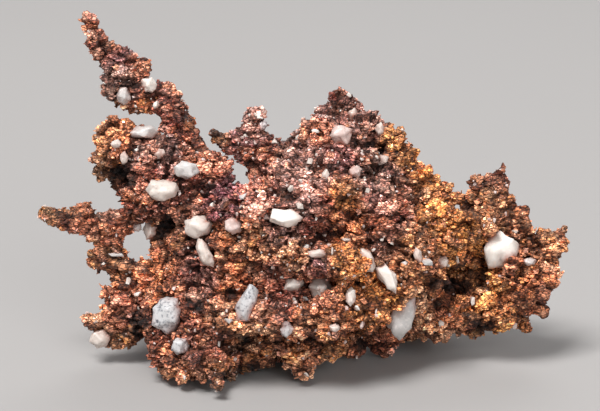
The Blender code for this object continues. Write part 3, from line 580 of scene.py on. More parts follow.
class Quartz(Enum):
    """Kinds of quartz grain: body colour, speckle colour, share of speckle, share of light let through."""

    WHITE = ((0.62, 0.545, 0.49), (0.42, 0.33, 0.28), 0.30, 0.0)
    BRIGHT = ((0.78, 0.72, 0.66), (0.66, 0.58, 0.52), 0.20, 0.0)
    PINKISH = ((0.58, 0.45, 0.41), (0.70, 0.60, 0.56), 0.35, 0.0)
    GREY = ((0.52, 0.49, 0.47), (0.66, 0.61, 0.58), 0.45, 0.05)
    SPECKLED = ((0.52, 0.51, 0.51), (0.08, 0.09, 0.11), 0.50, 0.0)


@dataclass(frozen=True)
class QuartzFinish:
    """Milky quartz: soft light inside, a waxy skin, faint veils and a few dark specks."""

    kind: Quartz
    veil_shade: float = 0.84
    stain_swing: float = 1.3
    bump: float = 0.35
    relief: float = 0.08 * MM
    depth: float = 0.6 * MM

    def material(self) -> bpy.types.Material:
        """Build the material."""
        body, speck, share, clear = self.kind.value
        graph = Graph("quartz_" + self.kind.name.lower())
        veils = graph.ramp(graph.noise(900.0, 4.0, 0.6), [(0.42, 0.0), (0.62, 1.0)])
        specks = graph.ramp(graph.noise(2300.0, 3.0, 0.65), [(0.60 - share * 0.2, 0.0), (0.68, 1.0)])
        colour = graph.mix(veils * 0.5, body, tuple(channel * self.veil_shade for channel in body))
        colour = graph.mix(specks * share * 2.0, colour, speck)
        mark = graph.attribute("stain", "Fac") * graph.noise(1500.0, 3.0, 0.6).about_one(self.stain_swing)
        colour = graph.mix(mark.clamp(), colour, Tone.RUST.value)
        normal = graph.bump(graph.noise(1800.0, 3.0, 0.6), self.bump, self.relief)
        return graph.feed(
            {
                "Base Color": colour,
                "Roughness": 0.34 + veils * 0.2,
                "IOR": 1.54,
                "Subsurface Weight": 0.35,
                "Subsurface Radius": (0.9, 0.8, 0.75),
                "Subsurface Scale": self.depth,
                "Transmission Weight": clear,
                "Normal": normal,
            }
        )


def merged_copy(node: str) -> bmesh.types.BMesh:
    """A copy of a CAD node's mesh with its loose triangles merged."""
    shape = bmesh.new()
    shape.from_mesh(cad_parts[node].data)
    bmesh.ops.remove_doubles(shape, verts=shape.verts, dist=0.001 * MM)
    return shape


def placed(mesh: bpy.types.Mesh, look: bpy.types.Material) -> bpy.types.Object:
    """Make a mesh a piece under its own name, linked to the scene and riding on the nugget."""
    mesh.materials.append(look)
    piece = bpy.data.objects.new(mesh.name, mesh)
    bpy.context.scene.collection.objects.link(piece)
    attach(piece, BODY)
    return piece


def new_piece(name: str, shape: bmesh.types.BMesh, look: bpy.types.Material) -> bpy.types.Object:
    """Make a piece from a bmesh, which is freed.

    Args:
        name: Name of the piece.
        shape: Its shape, in metres, in place.
        look: Its material.

    Returns:
        The piece.
    """
    mesh = bpy.data.meshes.new(name)
    shape.to_mesh(mesh)
    shape.free()
    return placed(mesh, look)


def settle(piece: bpy.types.Object) -> None:
    """Turn a piece's modifiers into plain mesh."""
    graph = bpy.context.evaluated_depsgraph_get()
    finished = bpy.data.meshes.new_from_object(piece.evaluated_get(graph))
    piece.modifiers.clear()
    piece.data = finished


def paint(mesh: bpy.types.Mesh, colours: np.ndarray, polish: np.ndarray) -> None:
    """Store a tint, which holds painted shade, and a polish at each vertex.

    Args:
        mesh: The mesh to paint.
        colours: One colour a vertex.
        polish: One value a vertex, 0 dull to 1 polished.
    """
    shaded_tint = mesh.attributes.new("shaded_tint", "FLOAT_COLOR", "POINT")
    opaque = np.column_stack((colours, np.ones(len(colours))))
    shaded_tint.data.foreach_set("color", opaque.astype(np.float32).ravel())
    shine = mesh.attributes.new("polish", "FLOAT", "POINT")
    shine.data.foreach_set("value", polish.astype(np.float32))


def stain(mesh: bpy.types.Mesh, amounts: np.ndarray) -> None:
    """Store how much copper has stained the quartz at each vertex, 0 to 1."""
    mark = mesh.attributes.new("stain", "FLOAT", "POINT")
    mark.data.foreach_set("value", amounts.astype(np.float32))


def coordinates(mesh: bpy.types.Mesh) -> np.ndarray:
    """The mesh's vertices, one point a row."""
    points = np.empty(len(mesh.vertices) * 3, np.float32)
    mesh.vertices.foreach_get("co", points)
    return points.reshape(-1, 3).astype(float)


@dataclass(frozen=True)
class Breakage:
    """One way to break a skin into cells.

    Each cell stands out or sinks by up to rise and leans by slope, inside a crevice of width moat and
    depth depth. It is flatness times wider than tall. Lengths are in metres.
    """

    count: int
    rise: float
    slope: float
    moat: float
    depth: float
    flatness: float = 1.0
    crowding: float = 2.6
    crowd: float = 1.6 * MM


@dataclass
class Cells:
    """Irregular cells scattered over a skin, each with a rise and a slope of its own."""

    way: Breakage
    seeds: np.ndarray
    rises: np.ndarray
    slopes: np.ndarray

    @classmethod
    def scatter(cls, points: np.ndarray, way: Breakage, chance: int) -> "Cells":
        """Scatter cells over a skin, closer together in some places than in others.

        Args:
            points: The skin's points, one a row.
            way: How the cells break it.
            chance: Seed of the scatter.

        Returns:
            The cells.
        """
        rng = np.random.default_rng(chance)
        crowd = np.exp([way.crowding * noise.noise(Vector(point) / way.crowd) for point in points])
        seeds = points[rng.choice(len(points), size=way.count, replace=False, p=crowd / crowd.sum())]
        rises = rng.uniform(-1.0, 1.0, way.count) * way.rise
        return cls(way, seeds, rises, rng.normal(0.0, way.slope, (way.count, 3)))

    def __post_init__(self) -> None:
        """Plant the search tree."""
        self.tree = KDTree(len(self.seeds))
        for index, seed in enumerate(self.seeds):
            self.tree.insert(self._flattened(seed), index)
        self.tree.balance()

    def _flattened(self, place: np.ndarray) -> np.ndarray:
        """A place with its height stretched, so that cells near one another in it lie flat."""
        return place * (1.0, 1.0, self.way.flatness)

    def owners(self, points: np.ndarray) -> tuple[np.ndarray, np.ndarray]:
        """Which cell each point belongs to, and how far it is from the crevice, 0 in it to 1 clear of it."""
        found = [self.tree.find_n(point, 2) for point in self._flattened(points)]
        owner = np.array([pair[0][1] for pair in found])
        gap = np.array([pair[1][2] - pair[0][2] for pair in found]) / self.way.moat
        clear = np.clip(gap, 0.0, 1.0)
        return owner, clear * clear * (3.0 - 2.0 * clear)

    def heights(self, points: np.ndarray, owner: np.ndarray, clear: np.ndarray) -> np.ndarray:
        """How far the cells push each point out of the skin."""
        lean = np.einsum("nd,nd->n", self.slopes[owner], points - self.seeds[owner])
        return self.rises[owner] + lean - self.way.depth * (1.0 - clear)


@dataclass
class Core:
    """The copper's body: the CAD form broken into lumps, and the lumps into flat-faced crystals.

    Each light pair paints shade into the colour: the share of colour kept where a place is hemmed in, and
    what it gains in the open; the gain then brightens the painted light as a whole.
    """

    voxel: float = 0.215 * MM
    lumps: Breakage = Breakage(
        count=1900, rise=0.38 * MM, slope=0.22, moat=0.7 * MM, depth=0.48 * MM, flatness=1.5
    )
    facets: Breakage = Breakage(
        count=13000, rise=0.13 * MM, slope=0.50, moat=0.26 * MM, depth=0.17 * MM, flatness=1.9
    )
    grit: float = 0.05 * MM
    grit_size: float = 0.4 * MM
    deepest: float = 1.6 * MM
    highest: float = 0.8 * MM
    foot: float = 1.2 * MM
    lowest: float = 0.02 * MM
    parts: int = 3
    rays: int = 8
    shelter_reach: float = 3.0 * MM
    thick: float = 5.0 * MM
    thin_share: float = 0.5
    swell: float = 0.24 * MM
    sky_light: Pair = (0.86, 0.50)
    lump_light: Pair = (0.22, 0.90)
    facet_light: Pair = (0.25, 0.88)
    gain: float = 1.74
    brightest: float = 2.0

    def build(self) -> list[bpy.types.Object]:
        """Build the core and give back its pieces."""
        self._skin()
        self._break_up()
        self._shade()
        return self._pieces()

    def _skin(self) -> None:
        """Cover the CAD form with an even mesh, and read it."""
        plain = CopperFinish("copper_core").material()
        whole = new_piece("copper_core", merged_copy("copper_mass"), plain)
        remesh = whole.modifiers.new("skin", "REMESH")
        remesh.mode = "VOXEL"
        remesh.voxel_size = self.voxel
        settle(whole)
        self.look = plain
        self.points = coordinates(whole.data)
        self.normals = np.array([normal.vector[:] for normal in whole.data.vertex_normals])
        self.faces = np.array([face.vertices[:] for face in whole.data.polygons])
        bpy.data.objects.remove(whole)

    def _break_up(self) -> None:
        """Push the skin out and in by lumps, facets and grit."""
        points = self.points
        self.lump_cells = Cells.scatter(points, self.lumps, SEED)
        self.facet_cells = Cells.scatter(points, self.facets, SEED + 1)
        self.mottle = Mottle(self.lumps.count, self.facets.count)
        self.lump, self.lump_clear = self.lump_cells.owners(points)
        self.facet, self.facet_clear = self.facet_cells.owners(points)
        push = self.lump_cells.heights(points, self.lump, self.lump_clear)
        push += self.facet_cells.heights(points, self.facet, self.facet_clear)
        push += np.array([noise.noise(Vector(point) / self.grit_size) for point in points]) * self.grit
        push = push * self._girth()[self.lump] + self.swell
        push *= np.clip(points[:, 2] / self.foot, 0.0, 1.0)
        self.points = points + self.normals * np.clip(push, -self.deepest, self.highest)[:, None]
        self.points[:, 2] = np.maximum(self.points[:, 2], self.lowest)

    def _girth(self) -> np.ndarray:
        """How much of its push each lump may take: all on the body, little on a thin limb."""
        tree = BVHTree.FromPolygons(self.points.tolist(), self.faces.tolist())
        nearest = KDTree(len(self.points))
        shares = []
        for index, point in enumerate(self.points):
            nearest.insert(point, index)
        nearest.balance()
        for seed in self.lump_cells.seeds:
            inward = -Vector(self.normals[nearest.find(seed)[1]])
            through = tree.ray_cast(Vector(seed) + inward * (0.3 * MM), inward, self.thick)[3]
            shares.append((through or self.thick) / self.thick)
        return np.clip(np.array(shares), self.thin_share, 1.0)

    def _shade(self) -> None:
        """Find each point's tint, with shade painted in from shelter, crevices and hollow shades, and its
        polish.
        """
        dice = random.Random(SEED)
        rng = np.random.default_rng(SEED)
        tree = BVHTree.FromPolygons(self.points.tolist(), self.faces.tolist())
        order = np.argsort(self.facet, kind="stable")
        firsts = np.unique(self.facet[order], return_index=True)[1]
        free = np.ones(self.facets.count)
        for vertex in order[firsts]:
            start, away = Vector(self.points[vertex]), Vector(self.normals[vertex])
            free[self.facet[vertex]] = openness(tree, start, away, self.rays, self.shelter_reach, dice)
        places = SHEET.read(self.points)
        tones = self.mottle.colours(TINTS.colours(places), self.lump, self.facet)
        # Painted shade: the colour is darkened where the sky is hemmed in, in the crevices between lumps and
        # facets, and in the hollow shades, then raised by the gain and capped.
        sky = np.clip(free[self.facet] / OPEN_SKY, 0.0, 1.0)
        light = np.ones(len(places))
        pairs = (self.sky_light, self.lump_light, self.facet_light)
        for (least, more), share in zip(pairs, (sky, self.lump_clear, self.facet_clear)):
            light = light * (least + more * share)
        light = np.minimum(light * hollow_light(places) * self.gain, self.brightest)
        self.shaded_tints = lit(tones, light[:, None])
        self.shine = rng.uniform(0.2, 1.0, self.facets.count)[self.facet] * light

    def _pieces(self) -> list[bpy.types.Object]:
        """Part the core into a few pieces, from left to right."""
        middles = self.points[self.faces, 0].mean(axis=1)
        cuts = np.quantile(middles, np.linspace(0.0, 1.0, self.parts + 1)[1:-1])
        share = np.searchsorted(cuts, middles)
        made = []
        for part in range(self.parts):
            faces = self.faces[share == part]
            used, places = np.unique(faces, return_inverse=True)
            piece = joined(
                f"copper_core_{part + 1}",
                self.points[used],
                places.reshape(faces.shape),
                self.look,
                self.shaded_tints[used],
                self.shine[used],
            )
            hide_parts("copper_mass")
            made.append(piece)
        return made


def openness(
    tree: BVHTree,
    start: Vector,
    away: Vector,
    rays: int,
    reach: float,
    dice: random.Random,
) -> float:
    """Share of the sky over a place that the skin near it leaves free.

    Args:
        tree: The skin.
        start: The place.
        away: Direction out of the skin there.
        rays: How many looks are taken.
        reach: How far each look goes, in metres.
        dice: Source of chance.

    Returns:
        The share, from 0 to 1.
    """
    free = 0
    lifted = start + away * LIFT
    for _ in range(rays):
        aim = Vector([dice.gauss(0, 1) for _ in range(3)]).normalized() + away * LEAN_OUT
        if tree.ray_cast(lifted, aim.normalized(), reach)[0] is None:
            free += 1
    return free / rays


FULL_LIGHT = 1.8  # share of light at which a tone takes on no red
REDDENING = np.array((1.0, 1.20, 1.28))  # how fast each channel falls as the light does


def lit(tones: np.ndarray, light: np.ndarray | float) -> np.ndarray:
    """Tones under a share of light: redder where little of it gets in, as copper lights copper.

    Args:
        tones: Colours, one a row.
        light: The share for each, 1 where the tone shows as it is.

    Returns:
        The lit colours.
    """
    return tones * (FULL_LIGHT * (light / FULL_LIGHT) ** REDDENING)


# Tones that lumps and facets lean to, in matching order: where a zone is rosy, and where it is golden.
ROSY_PARTNERS = [Tone.PALE_ROSE, Tone.MAUVE, Tone.ROSE, Tone.SALMON, Tone.MAROON, Tone.ORANGE]
GOLDEN_PARTNERS = [Tone.PALE_GOLD, Tone.ORANGE, Tone.GOLD, Tone.SALMON, Tone.RUST, Tone.TAN]


@dataclass
class Mottle:
    """A colour and a brightness of its own for each lump and facet, shared by the core and its crystals."""

    lumps: int
    facets: int
    lump_most: float = 0.70
    facet_most: float = 0.60
    lump_swing: float = 0.26
    facet_swing: float = 0.20
    warm_from: float = 0.25

    def __post_init__(self) -> None:
        """Draw every lump's and facet's lot."""
        rng = np.random.default_rng(SEED)
        partners = len(ROSY_PARTNERS)
        self.lump_pick = rng.integers(partners, size=self.lumps)
        self.facet_pick = rng.integers(partners, size=self.facets)
        self.lump_share = rng.random(self.lumps) ** 1.3 * self.lump_most
        self.facet_share = rng.random(self.facets) ** 2.0 * self.facet_most
        self.lump_light = np.exp(rng.normal(0.0, self.lump_swing, self.lumps))
        self.facet_light = np.exp(rng.normal(0.0, self.facet_swing, self.facets))

    def colours(self, tones: np.ndarray, lump: np.ndarray, facet: np.ndarray) -> np.ndarray:
        """Vary tones from lump to lump and from facet to facet.

        Args:
            tones: The zones' colours, one a row.
            lump: Number of each row's lump.
            facet: Number of each row's facet.

        Returns:
            The varied colours.
        """
        yellow = (tones[:, 1] - tones[:, 2]) / tones[:, 0]
        warmth = np.clip(yellow / self.warm_from, 0.0, 1.0)[:, None]
        varied = self._joined_by(tones, warmth, self.lump_pick[lump], self.lump_share[lump])
        varied = self._joined_by(varied, warmth, self.facet_pick[facet], self.facet_share[facet])
        return varied * (self.lump_light[lump] * self.facet_light[facet])[:, None]

    @staticmethod
    def _joined_by(tones: np.ndarray, warmth: np.ndarray, pick: np.ndarray, share: np.ndarray) -> np.ndarray:
        """Mix in each row's partner: a golden one where the tone is warm, a rosy one where it isn't."""
        rosy = np.array([tone.value for tone in ROSY_PARTNERS])[pick]
        golden = np.array([tone.value for tone in GOLDEN_PARTNERS])[pick]
        partner = rosy * (1.0 - warmth) + golden * warmth
        return tones * (1.0 - share[:, None]) + partner * share[:, None]


def joined(
    name: str,
    corners: np.ndarray,
    faces: np.ndarray,
    look: bpy.types.Material,
    shaded_tints: np.ndarray | None = None,
    shine: np.ndarray | None = None,
) -> bpy.types.Object:
    """Make one piece from arrays of corners and faces.

    Args:
        name: Name of the piece.
        corners: Its corners in metres, one a row.
        faces: Numbers of the corners of each face, one face a row.
        look: Its material.
        shaded_tints: A colour for each corner.
        shine: A polish for each corner.

    Returns:
        The piece.
    """
    mesh = bpy.data.meshes.new(name)
    mesh.from_pydata(corners, [], faces)
    if shaded_tints is not None:
        paint(mesh, shaded_tints, shine)
    return placed(mesh, look)


def stacked(shapes: Iterable[tuple[np.ndarray, np.ndarray]]) -> tuple[np.ndarray, np.ndarray, list[int]]:
    """Stack the corners and triangles of many small shapes.

    Args:
        shapes: The corners and the triangles of each.

    Returns:
        All the corners, all the triangles, and how many corners each shape has.
    """
    corners, triangles = zip(*shapes)
    lengths = [len(some) for some in corners]
    starts = np.cumsum([0] + lengths[:-1])
    moved = [some + start for some, start in zip(triangles, starts)]
    return np.vstack(corners), np.vstack(moved), lengths


class Habit(Enum):
    """Habits of the small copper crystals."""

    KNOB = "knob"
    BLOCK = "block"
    FLAKE = "flake"
    SPIKE = "spike"
    LEAF = "leaf"
    CHIP = "chip"


SHAKES = {Habit.KNOB: 0.10, Habit.BLOCK: 0.09, Habit.FLAKE: 0.10, Habit.SPIKE: 0.05}


@dataclass(frozen=True)
class Stock:
    """A unit-sized crystal of one habit: its corners and its triangles."""

    corners: np.ndarray
    triangles: np.ndarray

    @classmethod
    def in_order(cls, corners: np.ndarray, triangles: np.ndarray) -> "Stock":
        """Store a crystal in a fixed order, because a thickened leaf comes in a different one each run.

        Args:
            corners: Its corners, one a row.
            triangles: Numbers of the corners of each triangle.

        Returns:
            The same crystal, with its corners sorted by place and its triangles by corner.
        """
        order = np.lexsort(corners.T)
        ranked = np.argsort(order)[triangles]
        turned = np.array([np.roll(triangle, -triangle.argmin()) for triangle in ranked])
        return cls(corners[order], turned[np.lexsort(turned.T)])


@dataclass
class CrystalShapes:
    """Makes a few seeded variants of each habit."""

    variants: int = 5
    chip_corners: int = 11
    leaf_bend: float = 0.5
    dice: random.Random = field(default_factory=lambda: random.Random(SEED))

    def stock(self, habit: Habit) -> list[Stock]:
        """The variants of one habit, half a unit in radius."""
        return [self._one(habit) for _ in range(self.variants)]

    def _one(self, habit: Habit) -> Stock:
        """Shape one crystal and read its corners and triangles."""
        shape = bmesh.new()
        if habit is Habit.KNOB:
            bmesh.ops.create_icosphere(shape, subdivisions=1, radius=0.5)
        elif habit is Habit.BLOCK:
            bmesh.ops.create_cube(shape, size=0.8)
        elif habit is Habit.FLAKE:
            bmesh.ops.create_cone(shape, cap_ends=True, segments=6, radius1=0.5, radius2=0.42, depth=0.2)
        elif habit is Habit.SPIKE:
            bmesh.ops.create_cone(shape, cap_ends=True, segments=5, radius1=0.24, radius2=0.03, depth=1.0)
        elif habit is Habit.CHIP:
            self._chip(shape)
        else:
            self._leaf(shape)
        if habit in SHAKES:
            self._shake(shape, SHAKES[habit])
        bmesh.ops.triangulate(shape, faces=shape.faces)
        bmesh.ops.recalc_face_normals(shape, faces=shape.faces)
        shape.verts.index_update()
        corners = np.array([vert.co[:] for vert in shape.verts])
        triangles = np.array([[vert.index for vert in face.verts] for face in shape.faces])
        shape.free()
        return Stock.in_order(corners, triangles)

    def _shake(self, shape: bmesh.types.BMesh, amount: float) -> None:
        """Move each corner a little at random."""
        for vert in shape.verts:
            vert.co += Vector([self.dice.uniform(-amount, amount) for _ in range(3)])

    def _chip(self, shape: bmesh.types.BMesh) -> None:
        """A broken chip: the hull of a few uneven corners."""
        for _ in range(self.chip_corners):
            out = Vector([self.dice.gauss(0, 1) for _ in range(3)]).normalized()
            shape.verts.new(out * self.dice.uniform(0.34, 0.56))
        made = bmesh.ops.convex_hull(shape, input=shape.verts)
        inside = [item for item in made["geom_interior"] if isinstance(item, bmesh.types.BMVert)]
        bmesh.ops.delete(shape, geom=inside, context="VERTS")

    def _leaf(self, shape: bmesh.types.BMesh) -> None:
        """A thin, bent and ragged leaf."""
        bmesh.ops.create_grid(shape, x_segments=2, y_segments=3, size=0.5)
        bmesh.ops.scale(shape, vec=(0.7, 1.0, 1.0), verts=shape.verts)
        for vert in shape.verts:
            vert.co.z += self.leaf_bend * vert.co.y**2 + self.dice.uniform(-0.06, 0.06)
            vert.co.x += self.dice.uniform(-0.10, 0.10)
            vert.co.y += self.dice.uniform(-0.10, 0.10)
        bmesh.ops.solidify(shape, geom=shape.faces[:], thickness=0.10)


@dataclass
class Ground:
    """The copper's skin as crystals see it: where they may sit, and how sheltered each place is."""

    core: Core
    grains: list[bpy.types.Object]
    rays: int = 9
    shelter_reach: float = 2.6 * MM
    roughness: float = 0.6
    look_out: float = 4.0 * MM

    def __post_init__(self) -> None:
        """Read the core's triangles and the trees to search."""
        quads = self.core.faces
        self.points = self.core.points
        self.triangles = np.vstack((quads[:, [0, 1, 2]], quads[:, [0, 2, 3]]))
        one, two, three = (self.points[self.triangles[:, corner]] for corner in range(3))
        across = np.cross(two - one, three - one)
        self.areas = np.linalg.norm(across, axis=1) / 2
        self.normals = across / np.maximum(self.areas[:, None] * 2, 1e-15)
        self.tree = BVHTree.FromPolygons(self.points.tolist(), quads.tolist())
        self.grain_tree = self._tree_of(self.grains)

    @staticmethod
    def _tree_of(pieces: list[bpy.types.Object]) -> BVHTree:
        """One tree of all the faces of several pieces."""
        corners, faces = [], []
        for piece in pieces:
            start = len(corners)
            corners += [vert.co.copy() for vert in piece.data.vertices]
            faces += [[start + index for index in face.vertices] for face in piece.data.polygons]
        return BVHTree.FromPolygons(corners, faces)

    def sample(self, count: int, rng: np.random.Generator) -> tuple[np.ndarray, np.ndarray, np.ndarray]:
        """Pick places evenly over the skin.

        Args:
            count: How many places.
            rng: Source of chance.

        Returns:
            The places, the smooth skin's directions there, and a core vertex near each, one a row.
        """
        chosen = rng.choice(len(self.areas), size=count, p=self.areas / self.areas.sum())
        mix = rng.dirichlet((1.0, 1.0, 1.0), size=count)
        places = np.einsum("nk,nkd->nd", mix, self.points[self.triangles[chosen]])
        vertex = self.triangles[chosen, 0]
        away = self.core.normals[vertex] + self.normals[chosen] * self.roughness
        return places, away / np.linalg.norm(away, axis=1, keepdims=True), vertex

    def openness(self, place: Vector, away: Vector, dice: random.Random) -> float:
        """Share of the sky over a place that the skin near it leaves free."""
        return openness(self.tree, place, away, self.rays, self.shelter_reach, dice)

    def clear_of_grains(self, place: Vector, size: float, share: float = 0.38) -> bool:
        """True where a crystal of this size leaves the quartz grains in sight."""
        near = self.grain_tree.find_nearest(place, self.look_out)
        if near[0] is None:
            return True
        inside = (place - near[0]).dot(near[1]) < 0
        return not inside and near[3] > size * share


@dataclass(frozen=True)
class Batch:
    """One sowing of crystals: habit, how many, least and most size, and how far they sink in."""

    habit: Habit
    count: int
    small: float
    large: float
    sunk: float
    upright: float = 0.0


BATCHES = [
    Batch(Habit.KNOB, 1800, 0.24 * MM, 0.62 * MM, 0.26),
    Batch(Habit.BLOCK, 8500, 0.24 * MM, 0.80 * MM, 0.18),
    Batch(Habit.FLAKE, 12500, 0.34 * MM, 1.10 * MM, 0.06, 0.1),
    Batch(Habit.LEAF, 5200, 0.40 * MM, 1.10 * MM, -0.04, 0.4),
    Batch(Habit.SPIKE, 900, 0.40 * MM, 0.80 * MM, -0.10, 0.9),
]


@dataclass(frozen=True)
class Oddity:
    """Crystals that lean to a tone of their own: below which lot, and how much of each colour they take."""

    below: float
    own: float
    other: float
    tone: Tone


ODDITIES = [
    Oddity(0.08, 0.6, 0.5, Tone.PALE_ROSE),
    Oddity(0.12, 0.5, 0.6, Tone.GOLD),
    Oddity(0.22, 0.35, 0.6, Tone.UMBER),
]


@dataclass
class Crust:
    """The small copper crystals, sown over the core and joined into a few pieces."""

    ground: Ground
    pieces: int = 4
    width: float = 48.0 * MM
    smallness: float = 2.2
    hollow_loss: float = 0.1
    bold: float = 0.45
    bold_gap: float = 0.02
    shy_gap: float = 0.30
    lump_lean: float = 0.55
    crystal_lean: float = 0.3
    sky_light: Pair = (0.90, 0.56)
    swing: float = 0.16
    least_polish: float = 0.3
    stretch: float = 0.25
    stray: float = 0.5
    brightest: float = 1.5

    def build(self) -> list[bpy.types.Object]:
        """Sow every batch and give back the pieces."""
        self.rng = np.random.default_rng(SEED)
        self.dice = random.Random(SEED)
        self.turns = self._lump_turns(self.ground.core.lumps.count)
        self.sown: list[list[tuple]] = [[] for _ in range(self.pieces)]
        shapes = CrystalShapes()
        for batch in BATCHES:
            self._sow(batch, shapes.stock(batch.habit))
        look = CopperFinish("copper_crystals").material()
        return [self._join(part, crystals, look) for part, crystals in enumerate(self.sown, 1)]

    def _sow(self, batch: Batch, stock: list[Stock]) -> None:
        """Sow one batch over the skin, thinly in crevices and hollows."""
        core = self.ground.core
        places, normals, vertex = self.ground.sample(batch.count, self.rng)
        drawn = SHEET.read(places)
        lumps = core.lump[vertex]
        # The core's gain brightens the crystals' colour, as part of the painted light.
        tones = core.mottle.colours(TINTS.colours(drawn), lumps, core.facet[vertex]) * core.gain
        clear = core.lump_clear[vertex] * (hollow_light(drawn) - self.hollow_loss)
        for place, normal, lump, tone, bare in zip(places, normals, lumps, tones, clear):
            if bare >= self.dice.random():
                self._grow(batch, stock, Vector(place), Vector(normal), lump, tone)

    def _grow(
        self,
        batch: Batch,
        stock: list[Stock],
        spot: Vector,
        away: Vector,
        lump: int,
        tone: np.ndarray,
    ) -> None:
        """Grow one crystal, unless it would hide a quartz grain or reach the floor.

        Args:
            batch: Its batch.
            stock: The shapes of its habit.
            spot: Its place on the skin.
            away: Direction out of the skin there.
            lump: Number of the lump it grows on.
            tone: The colour of its lump and facet.
        """
        dice = self.dice
        size = batch.small + (batch.large - batch.small) * dice.random() ** self.smallness
        gap = self.bold_gap if dice.random() < self.bold else self.shy_gap
        centre = spot - away * (size * batch.sunk)
        if not self.ground.clear_of_grains(spot, size, gap) or centre.z < size * 0.5:
            return
        one = stock[dice.randrange(len(stock))]
        turned = self._turn(away, lump, batch.upright)
        colour, shine = self._shaded_tone(tone, self.ground.openness(spot, away, dice))
        corners = one.corners @ turned.T * size + np.array(centre)
        self.sown[self._part_of(centre)].append((corners, one.triangles, colour, shine))

    def _lump_turns(self, count: int) -> list[Matrix]:
        """A way to lie for the crystals of each lump."""
        dice = self.dice
        turns = []
        for _ in range(count):
            axis = Vector([dice.gauss(0, 1) for _ in range(2)] + [0.0]).normalized()
            lean = Matrix.Rotation(dice.gauss(0.0, self.lump_lean), 3, axis)
            turns.append(lean @ Matrix.Rotation(dice.uniform(0, math.tau), 3, "Z"))
        return turns

    @staticmethod
    def _join(part: int, crystals: list[tuple], look: bpy.types.Material) -> bpy.types.Object:
        """Join one part's crystals into a piece that stands in for the copper."""
        corners, triangles, lengths = stacked(crystal[:2] for crystal in crystals)
        colours = np.repeat([colour for *_, colour, _ in crystals], lengths, axis=0)
        shine = np.repeat([polish for *_, polish in crystals], lengths)
        piece = joined(f"copper_crystals_{part}", corners, triangles, look, colours, shine)
        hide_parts("copper_mass")
        return piece

    def _part_of(self, centre: Vector) -> int:
        """Which piece a crystal belongs to, from left to right across the nugget."""
        width = self.width / MM
        share = (centre.x / MM + width / 2.0) / width
        return min(self.pieces - 1, max(0, int(share * self.pieces)))

    def _turn(self, away: Vector, lump: int, upright: float) -> np.ndarray:
        """A turn close to the lump's own, or standing more or less upright on the skin."""
        dice = self.dice
        least, most = 1.0 - self.stretch, 1.0 + self.stretch
        stretch = np.diag([dice.uniform(least, most) for _ in range(3)])
        leans = dice.random() >= upright
        free = Vector([dice.gauss(0, 1) for _ in range(3)]).normalized()
        if leans:
            lean = Matrix.Rotation(dice.gauss(0, self.crystal_lean), 3, free)
            return np.array(self.turns[lump] @ lean) @ stretch
        axis = (away + free * self.stray).normalized()
        turn = axis.to_track_quat("Z", "Y").to_matrix() @ Matrix.Rotation(dice.uniform(0, math.tau), 3, "Z")
        return np.array(turn) @ stretch

    def _shaded_tone(self, tone: np.ndarray, free: float) -> tuple[np.ndarray, float]:
        """One crystal's colour, with shade painted in by how sheltered it is, and its polish.

        Args:
            tone: The colour of its lump and facet.
            free: Share of free sky over it.

        Returns:
            Its colour with painted shade, and its polish from 0 to 1.
        """
        lot = self.dice.random()
        odd = next((oddity for oddity in ODDITIES if lot < oddity.below), None)
        if odd:
            tone = tone * odd.own + np.array(odd.tone.value) * odd.other
        least, more = self.sky_light
        sky = least + more * min(1.0, free / OPEN_SKY)
        light = min(math.exp(self.dice.gauss(0.0, self.swing)) * sky, self.brightest)
        return lit(tone, light), min(1.0, self.dice.random() * (self.least_polish + free))


@dataclass
class Grain:
    """One quartz grain: the CAD form with softened edges, flat chips and a sugary skin."""

    node: str
    kind: Quartz
    cuts: int = 4
    chips: int = 16
    chip: float = 0.06
    chip_lean: float = 0.10
    moat: float = 0.12 * MM
    moat_depth: float = 0.03 * MM
    grit: float = 0.11 * MM
    grit_size: float = 0.9 * MM
    stain_reach: float = 0.34 * MM

    def build(self, look: bpy.types.Material, copper: BVHTree) -> bpy.types.Object:
        """Build the grain and give back its piece.

        Args:
            look: Its material.
            copper: The copper's skin, which stains the quartz where they meet.

        Returns:
            The grain's piece.
        """
        shape = merged_copy(self.node)
        bmesh.ops.subdivide_edges(shape, edges=shape.edges[:], cuts=self.cuts, use_grid_fill=True)
        bmesh.ops.triangulate(shape, faces=shape.faces[:])
        centre = sum((vert.co for vert in shape.verts), Vector()) / len(shape.verts)
        before = self._span(shape, centre)
        for _ in range(2):
            bmesh.ops.smooth_vert(shape, verts=shape.verts[:], factor=0.5)
        bmesh.ops.scale(
            shape,
            vec=[before / self._span(shape, centre)] * 3,
            space=Matrix.Translation(-centre),
            verts=shape.verts[:],
        )
        points = np.array([vert.co[:] for vert in shape.verts])
        chance = SEED + len(self.node) * 7 + len(points)
        way = Breakage(self.chips, before * self.chip, self.chip_lean, self.moat, self.moat_depth)
        cells = Cells.scatter(points, way, chance)
        push = cells.heights(points, *cells.owners(points))
        for vert, height in zip(shape.verts, push):
            out = (vert.co - centre).normalized()
            grit = noise.fractal(vert.co / self.grit_size, 0.8, 2.0, 4) * self.grit
            vert.co += out * (float(height) + grit)
        piece = new_piece(self.node.replace("quartz_", "grain_"), shape, look)
        piece.data.shade_smooth()
        gaps = np.array([copper.find_nearest(vert.co)[3] for vert in piece.data.vertices])
        stain(piece.data, np.exp(-gaps / self.stain_reach))
        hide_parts(self.node)
        return piece

    @staticmethod
    def _span(shape: bmesh.types.BMesh, centre: Vector) -> float:
        """Middling distance of the grain's corners from its centre."""
        return sum((vert.co - centre).length for vert in shape.verts) / len(shape.verts)


